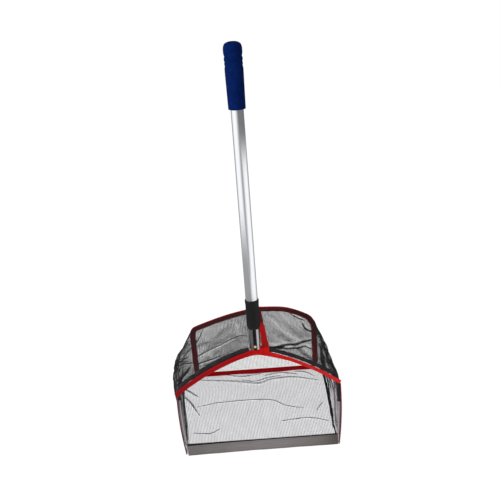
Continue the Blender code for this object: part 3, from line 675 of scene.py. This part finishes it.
def make_ribbon(surface):
    """The ridge ribbon: over the net in front, under it at the back, and turned down over the hem."""
    ridge, beside = surface.points[-1], surface.points[-3]
    down = unit(beside - ridge)
    along = unit(np.gradient(ridge, axis=0))
    up = unit(np.cross(down, along))
    up = np.where(up[:, 2:] < 0, -up, up)
    share = np.linspace(0, 1, len(ridge))
    side = np.where(share < 0.60, 1.0, -1.0)
    side = np.convolve(np.pad(side, 4, mode="edge"), np.ones(9) / 9, "valid")
    on_net = ridge + up * (0.0014 * side)[:, None]
    tab_up = gable_point(RIDGE_FRONT_X, HEM_OUT)[1]
    tab_x = RIDGE_FRONT_X + 0.0015
    tab_back = np.array((-0.0060, -0.0062, -0.0055, -0.0030, 0.0006))
    tab_rise = np.array((-0.0060, -0.0010, 0.0035, 0.0062, 0.0066))
    tab = plane_points(tab_x, tab_back, tab_up + tab_rise)
    path = np.vstack([tab, on_net[2:]])
    path = np.vstack([path[:1], soften(path, 1, 2)[1:]])
    tangent = unit(np.gradient(path, axis=0))
    across = np.vstack([each_place(ACROSS, tab), down[2:]])
    across = unit(across - (across * tangent).sum(1, keepdims=True) * tangent)
    out = unit(np.cross(tangent, across))
    out = np.where(out[:, 2:] < 0, -out, out)
    out[: len(tab)] = unit(np.cross(across, tangent))[: len(tab)]
    out[: len(tab)] *= np.sign((out[: len(tab)] @ (FRONT + UP_PLANE)))[:, None]
    width = np.interp(np.linspace(0, 1, len(path)), (0, 0.10, 0.30, 1.0), (0.0185, 0.0165, 0.0140, 0.0125))
    aside = 0.0012 * (width / 0.0125 - 1) / 0.48
    sections = each_place(rounded(1.0, 0.0009, 0.0004, low=-0.5), path)
    sections[..., 0] = sections[..., 0] * width[:, None] - aside[:, None]
    ribbon = sweep("ridge_ribbon_tape", path, across, out, sections)
    finish_piece(ribbon, RED, "red_tape", "net", "ridge_ribbon")
    rows = [ribbon]
    for name, edge in (("left", -0.40), ("right", 0.40)):
        line = path + across * (edge * width - aside)[:, None] + out * 0.0006
        rows.append(stitches("ribbon_stitching_" + name, line, out, RED_THREAD))
    return rows


def gable_tape_edges(x):
    """How far the tape's lower and upper edges stand out from the gable's line."""
    low = -0.0010 + 0.0022 * np.clip((x - 0.02) / 0.05, 0, 1)
    high = 0.0090 + 0.0032 * hill(x, 0.002, 0.016) - 0.0004 * np.clip((x - 0.02) / 0.05, 0, 1)
    return low, high


def make_mouth_tapes():
    gable, sides = [], {"left": [], "right": []}
    x = np.linspace(-0.1705, 0.1685, 220)
    low, high = gable_tape_edges(x)
    low_x, low_up = gable_point(x, low)
    high_x, high_up = gable_point(x, high)
    drop = 0.0016 * np.clip((-x - 0.155) / 0.015, 0, 1)
    back = -0.0050 + 0.0003 * np.sin(x * 110)
    path, top = plane_points(low_x, back, low_up - drop), plane_points(high_x, back + 0.0006, high_up - drop)
    across = unit(top - path)
    width = np.linalg.norm(top - path, axis=1)
    sections = each_place(rounded(1.0, 0.0015, 0.0007), x)
    sections[..., 0] *= width[:, None]
    tape = sweep("gable_binding", path, across, FRONT, sections)
    gable.append(finish_piece(tape, RED, "red_tape", "net", "gable_tape"))
    for name, share in (("low", 0.16), ("high", 0.84)):
        line = path + (top - path) * share + FRONT * 0.0009
        gable.append(stitches("gable_stitching_" + name, line, FRONT, RED_THREAD))
    for name, sign, thickness in (("left", -1, 0.0013), ("right", 1, 0.0020)):
        height = np.linspace(0.0024, SHOULDER_HEIGHT - 0.002, 60)
        path = plane_points(sign * (side_line(height) - thickness / 2), -0.0036, height)
        tape = sweep("side_binding_" + name, path, -FRONT, ACROSS, rounded(0.0084, thickness, 0.0007))
        sides[name].append(finish_piece(tape, SIDE_SHADE_RED, "red_tape", "net", "side_tape_" + name))
        line = path - FRONT * 0.0062 + ACROSS * sign * (thickness / 2 + 0.0001)
        sides[name].append(stitches("side_stitching_" + name, line, ACROSS * sign, RED_THREAD))
    return gable, sides


SLEEVE_FOOT = {-1: 0.134, 1: 0.104}


def make_hems():
    """Black cloth sleeves over the gable's wire and round the shoulders, net sleeves below them."""
    pieces = {}
    for name, sign in (("left", -1), ("right", 1)):
        inner_x = 0.0108 if sign < 0 else 0.0240
        centre = HEM_OUT + 0.0012
        x, up = gable_point(np.linspace(inner_x, 0.1560, 110), centre)
        foot = SLEEVE_FOOT[sign]
        height = np.linspace(0.1490, foot, 30)
        side = np.stack([side_line(height) - HEM_IN, height], axis=-1)
        line = soften(resample(np.vstack([np.stack([x, up], axis=-1), side]), 170), 4, 3)
        path = plane_points(sign * line[:, 0], 0.0, line[:, 1])
        tangent = unit(np.gradient(path, axis=0))
        out = unit(np.cross(tangent, FRONT))
        out *= np.sign((out @ UP_PLANE).sum())
        share = np.linspace(0, 1, len(path))
        tall = np.interp(share, (0, 0.05, 0.55, 0.82, 1.0), (0.0040, 0.0052, 0.0052, 0.0040, 0.0034))
        if sign > 0:
            tall = np.minimum(tall, 0.0042)
        pucker = 1 + 0.05 * np.sin(share * 95) + 0.04 * np.sin(share * 57 + 1.0)
        section = np.stack([oval(half * wrinkle, 0.0036) for half, wrinkle in zip(tall, pucker)])
        sleeve = sweep("gable_sleeve_" + name, path, out, FRONT, section, sharp_degrees=80)
        finish_piece(sleeve, BLACK_CLOTH, "black_cloth", "net", "gable_hem_" + name)

        height = np.linspace(0.0262, foot + 0.003, round((foot - 0.0262) / PITCH))
        turn = np.linspace(0, 2 * math.pi, 9)
        centre_line = plane_points(sign * (side_line(height) - HEM_IN), 0.0, height)
        ring = np.cos(turn)[:, None] * ACROSS + np.sin(turn)[:, None] * FRONT
        grid = centre_line[None] + 0.0031 * ring[:, None]
        tube_net = netting("side_sleeve_" + name, [weave(grid, size=THREAD * 0.8)])
        finish_piece(tube_net, SIDE_NET, "black_mesh", "net", "side_hem_" + name)
        pieces[name] = [sleeve, tube_net]
    return pieces


# ==== The lip ====
LIP_HALF_LENGTH = 0.1610
LIP_HEIGHT = 0.0255


def make_lip():
    x = np.linspace(-LIP_HALF_LENGTH + 0.0015, LIP_HALF_LENGTH, 160)
    path = plane_points(x, 0.0, 0.0)
    kick = 0.0035 * np.clip(-x / LIP_HALF_LENGTH, 0, 1) ** 1.5
    sag = 0.0003 * np.sin(x * 60) + 0.0002 * np.sin(x * 133 + 1)
    section = rounded(LIP_HEIGHT - 0.0012, 0.0066, 0.0016, low=0.0012, steps=5)
    sections = each_place(section, x)
    front_side = sections[..., 1] > 0
    sections[..., 1] += np.where(front_side, (kick + sag)[:, None], 0)
    lip = sweep("lip_cover", path, UP_PLANE, FRONT, sections)
    finish_piece(lip, GREY_CLOTH, "grey_cloth", "net", "lip_sleeve")

    top = plane_points(x, 0.0, LIP_HEIGHT + 0.0002)
    trim_section = each_place(rounded(0.0042, 0.0009, 0.0004, low=-0.0011), x)
    trim_section[..., 0] += np.where(trim_section[..., 0] > 0, kick[:, None], 0)
    trim = sweep("lip_trim", top, FRONT, UP_PLANE, trim_section)
    finish_piece(trim, BLACK_CLOTH, "black_cloth", "net")
    pieces = [lip, trim]
    for name, height in (("low", 0.0040), ("high", 0.0225)):
        line = plane_points(x[2:-2], 0.0, height) + FRONT * (0.0034 + kick + sag)[2:-2, None]
        pieces.append(stitches("lip_stitching_" + name, line, FRONT, DARK_THREAD, spacing=0.0040))
    return pieces


# ==== The pole ====
GRIP_TOP = 0.8649
GRIP_BOTTOM = 0.7392


def tube(radius, bore, bottom, top, ease=0.0003):
    """The closed profile of a tube with eased outer edges."""
    outer = [(radius - ease, top), (radius, top - ease), (radius, bottom + ease), (radius - ease, bottom)]
    return [(bore, top)] + outer + [(bore, bottom)]


def make_pole():
    outer = lathe("outer_tube_drawn", tube(0.0125, 0.0114, 0.2900, 0.8540), around=128)
    finish_piece(outer, ALUMINIUM, "satin_aluminium", "handle", "outer_tube")
    inner = lathe("inner_tube_plated", tube(0.0110, 0.0100, 0.2400, 0.7720), around=128)
    finish_piece(inner, CHROME, "chrome", "net", "inner_tube")
    top, bottom = 0.3488, 0.2859
    skin = [
        (0.0128, top),
        (0.0136, top),
        (0.0140, top - 0.0003),
        (0.0142, top - 0.0010),
        (0.0142, top - 0.0060),
        (0.0140, top - 0.0075),
        (0.0137, top - 0.0100),
        (0.01365, top - 0.0300),
        (0.0136, bottom + 0.0100),
        (0.0134, bottom + 0.0050),
        (0.0131, bottom + 0.0025),
        (0.0127, bottom + 0.0008),
        (0.0122, bottom),
    ]
    bore = [(0.0113, bottom), (0.0113, 0.2897), (0.0128, 0.2897)]
    sleeve = lathe("end_sleeve_moulding", skin + bore)
    finish_piece(sleeve, PLASTIC, "black_plastic", "handle", "end_sleeve")
    rivet = lathe_rivet()
    finish_piece(rivet, BRASS, "brass", "net", "socket_rivet")
    make_grip()


RIVET_HEIGHT = 0.2475


def lathe_rivet():
    """The domed head of the rivet through the inner tube, and its shank."""
    head = [(0.0, 0.0125), (0.0010, 0.01240), (0.0019, 0.01205), (0.0026, 0.01140), (0.0028, 0.01085)]
    shank = [(0.0016, 0.01085), (0.0016, -0.0100), (0.0, -0.0100)]
    profile = np.array(head + shank)
    around = 32
    turn = circle(around)
    body = profile[1:-1]
    across = body[:, :1] * np.cos(turn)
    up = RIVET_HEIGHT + body[:, :1] * np.sin(turn)
    points = plane_points(across, np.broadcast_to(-body[:, 1:], across.shape), up).reshape(-1, 3)
    faces = ring_quads(len(body), around).tolist()
    faces += end_caps(len(body), around)
    return solid("rivet_head", points, faces, 40)


def make_grip():
    below_top = [
        (0.0030, 0.0001),
        (0.0080, 0.0007),
        (0.0130, 0.0026),
        (0.0162, 0.0058),
        (0.0178, 0.0110),
        (0.0182, 0.0160),
        (0.0180, 0.0210),
        (0.0172, 0.0255),
        (0.0167, 0.0275),
        (0.0175, 0.0300),
        (0.0178, 0.0325),
        (0.0175, 0.0350),
        (0.0169, 0.0370),
        (0.0174, 0.0395),
        (0.0175, 0.0420),
        (0.0168, 0.0450),
        (0.0174, 0.0480),
        (0.0178, 0.0540),
        (0.0173, 0.0850),
    ]
    outer = [(radius, GRIP_TOP - drop) for radius, drop in below_top]
    outer += [(0.0167, GRIP_BOTTOM + 0.0030), (0.0166, GRIP_BOTTOM + 0.0008)]
    bore = [(0.0160, GRIP_BOTTOM), (0.0128, GRIP_BOTTOM), (0.0128, 0.8566), (0.0, 0.8566)]
    profile = [(0.0, GRIP_TOP)] + [tuple(point) for point in catmull(outer, 5)] + bore
    grip = lathe("grip_foam", profile, around=96, sharp_degrees=50)
    finish_piece(grip, FOAM, "blue_foam", "handle", "grip")


# ==== Materials ====
def material(name, colour, roughness, metallic=0.0, **sockets):
    made = bpy.data.materials.new(name)
    made.use_nodes = True
    shader = shader_of(made)
    shader.inputs["Base Color"].default_value = (*colour, 1.0)
    shader.inputs["Roughness"].default_value = roughness
    shader.inputs["Metallic"].default_value = metallic
    for socket, value in sockets.items():
        shader.inputs[socket.replace("_", " ")].default_value = value
    return made


def shader_of(made):
    return made.node_tree.nodes["Principled BSDF"]


def node(made, kind, **settings):
    """A new node, with its inputs or its own settings given by name."""
    new = made.node_tree.nodes.new(kind)
    for key, value in settings.items():
        if key in new.inputs:
            new.inputs[key].default_value = value
        else:
            setattr(new, key, value)
    return new


def link(made, source, target):
    made.node_tree.links.new(source, target)


def place(made, scale=(1, 1, 1), rotation=(0, 0, 0)):
    """The piece's own coordinates, in metres, scaled and turned."""
    coordinates = node(made, "ShaderNodeTexCoord")
    mapping = node(made, "ShaderNodeMapping")
    mapping.inputs["Scale"].default_value = scale
    mapping.inputs["Rotation"].default_value = rotation
    link(made, coordinates.outputs["Object"], mapping.inputs["Vector"])
    return mapping.outputs["Vector"]


def noise(made, vector, scale, detail=3.0, roughness=0.6):
    new = node(made, "ShaderNodeTexNoise", Scale=scale, Detail=detail, Roughness=roughness)
    link(made, vector, new.inputs["Vector"])
    return new.outputs["Fac"]


def ramp(made, factor, *stops):
    """A colour ramp with stops of (position, colour)."""
    new = node(made, "ShaderNodeValToRGB")
    elements = new.color_ramp.elements
    while len(elements) < len(stops):
        elements.new(0.5)
    for element, (position, colour) in zip(elements, stops):
        element.position = position
        element.color = (*colour, 1.0)
    link(made, factor, new.inputs["Fac"])
    return new.outputs["Color"]


def spread(made, factor, low, high, start=0.0, end=1.0):
    new = node(made, "ShaderNodeMapRange")
    new.inputs["From Min"].default_value = start
    new.inputs["From Max"].default_value = end
    new.inputs["To Min"].default_value = low
    new.inputs["To Max"].default_value = high
    link(made, factor, new.inputs["Value"])
    return new.outputs["Result"]


def axis(made, name):
    """One of the piece's own coordinates, in metres."""
    coordinates = node(made, "ShaderNodeTexCoord")
    split = node(made, "ShaderNodeSeparateXYZ")
    link(made, coordinates.outputs["Object"], split.inputs["Vector"])
    return split.outputs[name]


def combine(made, first, second, operation="ADD"):
    new = node(made, "ShaderNodeMath", operation=operation)
    link(made, first, new.inputs[0])
    link(made, second, new.inputs[1])
    return new.outputs["Value"]


def multiply_colour(made, first, second):
    new = node(made, "ShaderNodeMix", data_type="RGBA", blend_type="MULTIPLY")
    new.inputs["Factor"].default_value = 1.0
    link(made, first, new.inputs["A"])
    link(made, second, new.inputs["B"])
    return new.outputs["Result"]


def bump(made, height, strength, distance):
    new = node(made, "ShaderNodeBump", Strength=strength, Distance=distance)
    link(made, height, new.inputs["Height"])
    link(made, new.outputs["Normal"], shader_of(made).inputs["Normal"])


def ribs(made, scale):
    """Crossing ribs of a plain weave."""
    vector = place(made)
    waves = []
    for direction in ("X", "Z"):
        wave = node(made, "ShaderNodeTexWave", bands_direction=direction, Scale=scale, Distortion=0.4)
        link(made, vector, wave.inputs["Vector"])
        waves.append(wave.outputs["Fac"])
    return combine(made, *waves)


def side_netting():
    """Black thread with a painted grey sheen beside the mouth, where the key light grazes the side nets, but
    not up at the shoulder or down in the floor's seam.
    """
    made = material("side_net", (0.022, 0.021, 0.024), 0.60, Specular_IOR_Level=0.12)
    grey, black = (0.340, 0.290, 0.320), (0.022, 0.021, 0.024)
    height, depth = axis(made, "Z"), axis(made, "Y")
    above_seam = spread(made, height, 0, 1, 0.022, 0.030)
    below_shoulder = spread(made, height, 1, 0, 0.095, 0.125)
    near_mouth = spread(made, depth, 1, 0, 0.060, 0.150)
    painted_sheen = combine(made, combine(made, above_seam, below_shoulder, "MULTIPLY"), near_mouth, "MULTIPLY")
    # painted sheen: grey thread colour standing in for the key light grazing the side nets
    link(made, ramp(made, painted_sheen, (0.0, black), (1.0, grey)), shader_of(made).inputs["Base Color"])
    return made


def cloth_finish(made, colour, rib_scale, strength=0.35):
    link(made, colour, shader_of(made).inputs["Base Color"])
    bump(made, ribs(made, rib_scale), strength, 0.0002)
    return made


def red_tape(name, base, roughness, direction, start, end, *stops):
    """Woven tape whose red changes between two places along one direction as painted light and shade, with a
    fine mottle.
    """
    made = material(name, base, roughness, Specular_IOR_Level=0.03)
    # painted light and shade along the direction; the mottle is the tape's own tone
    colour = ramp(made, spread(made, axis(made, direction), 0, 1, start, end), *stops)
    mottle = noise(made, place(made), 140.0, detail=5.0)
    tone = ramp(made, mottle, (0.30, (0.80, 0.80, 0.80)), (0.70, (1, 1, 1)))
    return cloth_finish(made, multiply_colour(made, colour, tone), 700.0)


def front_red_tape():
    """The gable's tape and the ribbon, with painted shade deepening the red on the left and painted light
    brightening it on the right.
    """
    left, middle = (0.29, 0.008, 0.013), (0.44, 0.006, 0.008)
    beside, right = (0.62, 0.008, 0.008), (0.78, 0.032, 0.032)
    # painted shade in the left stops, painted light in the right stops
    stops = (0.0, left), (0.44, middle), (0.54, beside), (1.0, right)
    return red_tape("red_tape", (0.50, 0.008, 0.009), 0.70, "X", -0.17, 0.17, *stops)


def shaded_red_tape():
    """The rear tape, darker along its arch than near the floor and at its very top."""
    foot, low = (0.50, 0.005, 0.009), (0.30, 0.003, 0.005)
    arch, top = (0.24, 0.003, 0.005), (0.42, 0.006, 0.010)
    stops = (0.02, foot), (0.20, low), (0.80, arch), (0.95, top)
    return red_tape("shaded_red_tape", (0.30, 0.003, 0.005), 0.75, "Z", 0.0, 0.2, *stops)


def side_shade_red_tape():
    """The tape down the mouth's sides, a darker, duller red that is painted shade."""
    made = material("side_shade_red_tape", (0.22, 0.035, 0.045), 0.75, Specular_IOR_Level=0.05)
    tone = noise(made, place(made), 110.0, detail=5.0)
    # painted shade: the side tape's darker red stands for the shade on the mouth's sides
    colour = ramp(made, tone, (0.30, (0.16, 0.026, 0.034)), (0.70, (0.28, 0.048, 0.060)))
    return cloth_finish(made, colour, 700.0)


def black_cloth():
    made = material("black_cloth", (0.020, 0.020, 0.022), 0.75, Specular_IOR_Level=0.15)
    tone = noise(made, place(made), 90.0, detail=5.0)
    colour = ramp(made, tone, (0.35, (0.012, 0.012, 0.014)), (0.65, (0.028, 0.028, 0.031)))
    return cloth_finish(made, colour, 600.0)


def grey_cloth():
    """Coated cloth, paler at the middle of its length, with faint streaks along it."""
    made = material("grey_cloth", (0.21, 0.195, 0.19), 0.62, Specular_IOR_Level=0.2)
    along = ramp(
        made,
        spread(made, axis(made, "X"), 0, 1, -0.16, 0.16),
        (0.0, (0.185, 0.173, 0.170)),
        (0.35, (0.262, 0.238, 0.240)),
        (0.65, (0.280, 0.255, 0.256)),
        (0.88, (0.205, 0.188, 0.180)),
        (1.0, (0.105, 0.090, 0.082)),
    )
    streaks = noise(made, place(made, scale=(0.06, 1, 1)), 420.0, detail=4.0)
    tone = ramp(made, streaks, (0.30, (0.80, 0.79, 0.78)), (0.70, (1, 1, 1)))
    return cloth_finish(made, multiply_colour(made, along, tone), 450.0, 0.30)


def satin_aluminium():
    made = material("satin_aluminium", (0.84, 0.85, 0.88), 0.15, 1.0)
    drawn = noise(made, place(made, scale=(1, 1, 0.012), rotation=(LEAN, 0, 0)), 1400.0, detail=2.0)
    link(made, spread(made, drawn, 0.11, 0.18), shader_of(made).inputs["Roughness"])
    bump(made, drawn, 0.04, 0.00005)
    return made


def fine_metal(name, colour, scale, smooth, rough):
    made = material(name, colour, rough, 1.0)
    varied = spread(made, noise(made, place(made), scale), smooth, rough)
    link(made, varied, shader_of(made).inputs["Roughness"])
    return made


def black_plastic():
    made = material("black_plastic", (0.007, 0.007, 0.008), 0.45, Specular_IOR_Level=0.18)
    grain = noise(made, place(made), 1500.0, detail=2.0)
    link(made, spread(made, grain, 0.40, 0.52), shader_of(made).inputs["Roughness"])
    bump(made, grain, 0.12, 0.0001)
    return made


def white_nylon():
    made = material("white_nylon", (0.74, 0.73, 0.69), 0.45)
    bump(made, noise(made, place(made), 900.0), 0.08, 0.0001)
    return made


def blue_foam():
    made = material("blue_foam", (0.002, 0.016, 0.085), 0.85, Specular_IOR_Level=0.02)
    tone = noise(made, place(made), 120.0, detail=4.0)
    colour = ramp(made, tone, (0.35, (0.0012, 0.0095, 0.072)), (0.65, (0.0018, 0.0145, 0.104)))
    link(made, colour, shader_of(made).inputs["Base Color"])
    cells = node(made, "ShaderNodeTexVoronoi", Scale=900.0)
    link(made, place(made), cells.inputs["Vector"])
    bump(made, cells.outputs["Distance"], 0.25, 0.0002)
    return made


# ==== Camera, floor and light ====
CAMERA_ELEVATION = 31.13
CAMERA_YAW = -0.31
CAMERA_ROLL = -4.40
CAMERA_DISTANCE = 2.0976
CAMERA_SHIFT_RIGHT = -0.0281
CAMERA_SHIFT_UP = 0.4271
CAMERA_LENS = 70.54
CAMERA_SENSOR = 36.0


def camera_axes():
    """The camera's right, up and viewing directions."""
    yaw, rise, roll = (math.radians(angle) for angle in (CAMERA_YAW, CAMERA_ELEVATION, CAMERA_ROLL))
    ahead = Vector((math.sin(yaw) * math.cos(rise), math.cos(yaw) * math.cos(rise), -math.sin(rise)))
    level = Vector((math.cos(yaw), -math.sin(yaw), 0))
    upright = level.cross(ahead)
    right = level * math.cos(roll) + upright * math.sin(roll)
    up = upright * math.cos(roll) - level * math.sin(roll)
    return right, up, ahead


def make_camera():
    right, up, ahead = camera_axes()
    data = bpy.data.cameras.new("camera")
    data.lens = CAMERA_LENS
    data.sensor_width = CAMERA_SENSOR
    camera = bpy.data.objects.new("camera", data)
    bpy.context.scene.collection.objects.link(camera)
    spot = right * CAMERA_SHIFT_RIGHT + up * CAMERA_SHIFT_UP - ahead * CAMERA_DISTANCE
    turn = Matrix((right, up, -ahead)).transposed().to_4x4()
    camera.matrix_world = Matrix.Translation(spot) @ turn
    bpy.context.scene.camera = camera


def area_light(name, spot, target, size, power):
    data = bpy.data.lights.new(name, "AREA")
    data.shape = "RECTANGLE"
    data.size, data.size_y = size
    data.energy = power
    light = bpy.data.objects.new(name, data)
    bpy.context.scene.collection.objects.link(light)
    light.location = spot
    light.rotation_euler = (Vector(target) - Vector(spot)).to_track_quat("-Z", "Y").to_euler()


def stage_floor():
    """White paper that is also lit from below, so that shadows on it stay faint."""
    bpy.ops.mesh.primitive_plane_add(size=14.0, location=(0, 2.0, -0.0002))
    floor = bpy.context.object
    floor.name = "studio_floor"
    floor.visible_glossy = False
    made = bpy.data.materials.new("studio_white")
    made.use_nodes = True
    nodes = made.node_tree.nodes
    nodes.clear()
    path = nodes.new("ShaderNodeLightPath")
    paper = node(made, "ShaderNodeBsdfDiffuse", Color=(0.16, 0.16, 0.16, 1))
    glow = node(made, "ShaderNodeEmission", Strength=0.93)
    lit = nodes.new("ShaderNodeAddShader")
    link(made, paper.outputs[0], lit.inputs[0])
    link(made, glow.outputs[0], lit.inputs[1])
    plain = node(made, "ShaderNodeBsdfDiffuse", Color=(0.70, 0.70, 0.70, 1))
    both = nodes.new("ShaderNodeMixShader")
    link(made, path.outputs["Is Camera Ray"], both.inputs[0])
    link(made, plain.outputs[0], both.inputs[1])
    link(made, lit.outputs[0], both.inputs[2])
    surface = nodes.new("ShaderNodeOutputMaterial")
    link(made, both.outputs[0], surface.inputs["Surface"])
    floor.data.materials.append(made)


def pole_mirror(turn):
    """Where a pole whose side has turned away by an angle mirrors the camera's view."""
    normal = math.cos(turn) * FRONT + math.sin(turn) * ACROSS
    view = np.array(camera_axes()[2])
    return view - 2 * (view @ normal) * normal


CARD_DISTANCE = 0.45
CARD_TURN = 89.0
CARD_LOW, CARD_HIGH = 0.16, 1.50
SOCKET_HEIGHT = 0.318


def card_tone(turn, height):
    """How bright the studio is where the pole's side has turned by an angle, at a height on the pole."""
    middle = 0.74 * hill(turn, 1.0 - 8.0 * smooth_step(height, 0.42, 0.36), 12.0)
    left = 0.74 * smooth_step(height, 0.59, 0.42) * smooth_step(turn, 2.0, -10.0)
    right = 0.92 * smooth_step(height, 0.65, 0.76) * smooth_step(turn, -8.0, 6.0)
    edge = 0.72 * smooth_step(abs(turn), 44.0, 64.0)
    tube_tone = 1.12 - np.maximum(np.maximum(middle, left), np.maximum(right, edge))
    bright = 0.50 * smooth_step(turn, 17.0, 28.0) * smooth_step(turn, 60.0, 46.0)
    dull = 0.11 * smooth_step(turn, -12.0, -22.0)
    chrome_tone = 0.012 + bright + dull
    low_down = smooth_step(height, SOCKET_HEIGHT + 0.012, SOCKET_HEIGHT - 0.012)
    return tube_tone * (1 - low_down) + chrome_tone * low_down


def stage_card():
    """A graded screen in front of the set, seen only in polished metal."""
    turns, heights = np.linspace(-CARD_TURN, CARD_TURN, 85), np.linspace(CARD_LOW, CARD_HIGH, 141)
    mirrored = np.stack([pole_mirror(math.radians(turn)) for turn in turns])
    points = heights[:, None, None] * UP_PLANE + CARD_DISTANCE * mirrored[None]
    index = np.arange(points[..., 0].size).reshape(points.shape[:2])
    quads = np.stack([index[:-1, :-1], index[:-1, 1:], index[1:, 1:], index[1:, :-1]], axis=-1)
    mesh = quad_mesh("studio_card", points.reshape(-1, 3), quads.reshape(-1, 4))
    tones = card_tone(turns[None, :], heights[:, None])
    tone = mesh.attributes.new("tone", "FLOAT", "POINT")
    tone.data.foreach_set("value", tones.astype(np.float32).ravel())
    card = link_mesh("studio_card", mesh)
    made = bpy.data.materials.new("studio_card")
    made.use_nodes = True
    made.node_tree.nodes.clear()
    read = node(made, "ShaderNodeAttribute", attribute_name="tone")
    glow = node(made, "ShaderNodeEmission")
    surface = node(made, "ShaderNodeOutputMaterial")
    link(made, read.outputs["Fac"], glow.inputs["Strength"])
    link(made, glow.outputs[0], surface.inputs["Surface"])
    card.data.materials.append(made)
    card.visible_camera = False
    card.visible_diffuse = False
    card.visible_shadow = False


def stage_world():
    """White behind the set, brighter in mirrors, dimmer as a light."""
    world = bpy.data.worlds.new("studio")
    world.use_nodes = True
    path = node(world, "ShaderNodeLightPath")
    shine = spread(world, path.outputs["Is Glossy Ray"], 0.40, 1.10)
    seen = combine(world, shine, path.outputs["Is Camera Ray"], "MAXIMUM")
    background = world.node_tree.nodes["Background"]
    background.inputs["Color"].default_value = (1, 1, 1, 1)
    link(world, seen, background.inputs["Strength"])
    bpy.context.scene.world = world


def make_studio():
    bpy.context.scene.view_settings.view_transform = "Standard"
    stage_floor()
    stage_card()
    stage_world()
    area_light("key", (-2.2, -1.3, 1.9), (0, 0.1, 0.4), (1.6, 1.6), 62)
    area_light("fill", (1.6, -1.6, 1.8), (0, 0.1, 0.2), (1.0, 1.0), 9)


def finish_cad():
    """The CAD pieces that stay get their finish."""
    looks = {
        WIRE: ("mouth_frame", "rear_hoop"),
        NYLON: ("frame_socket", "lock_core", "lock_cone", "lip_stiffener"),
        PLASTIC: ("lock_sleeve", "tube_plug"),
    }
    for look, names in looks.items():
        for name in names:
            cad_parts[name].material_slots[0].material = look


RED = front_red_tape()
SIDE_SHADE_RED = side_shade_red_tape()
SHADED_RED = shaded_red_tape()
RED_THREAD = material("red_thread", (0.55, 0.035, 0.035), 0.55, Specular_IOR_Level=0.2)
DARK_THREAD = material("dark_thread", (0.060, 0.055, 0.052), 0.60, Specular_IOR_Level=0.2)
BLACK_CLOTH = black_cloth()
GREY_CLOTH = grey_cloth()
BLACK_NET = material("black_net", (0.022, 0.021, 0.024), 0.60, Specular_IOR_Level=0.12)
SIDE_NET = side_netting()
# The floor's net is painted bluer than the other netting: a painted tint of cool shaded light under the bag.
FLOOR_NET_PAINTED_TINT = material("floor_net", (0.036, 0.030, 0.095), 0.60, Specular_IOR_Level=0.10)
ALUMINIUM = satin_aluminium()
CHROME = fine_metal("chrome", (0.86, 0.86, 0.87), 60.0, 0.04, 0.10)
WIRE = fine_metal("steel_wire", (0.42, 0.42, 0.43), 300.0, 0.25, 0.45)
BRASS = fine_metal("brass", (0.80, 0.60, 0.30), 400.0, 0.18, 0.34)
PLASTIC = black_plastic()
NYLON = white_nylon()
FOAM = blue_foam()

make_camera()
make_studio()
side_nets, side_surfaces = make_side_nets()
floor_net = make_floor_net()
back_net = make_back_net()
rear_pieces = make_rear_tape()
ribbon_pieces = make_ribbon(side_surfaces[1])
gable_pieces, side_tapes = make_mouth_tapes()
sleeves = make_hems()
lip_pieces = make_lip()
make_pole()
finish_cad()
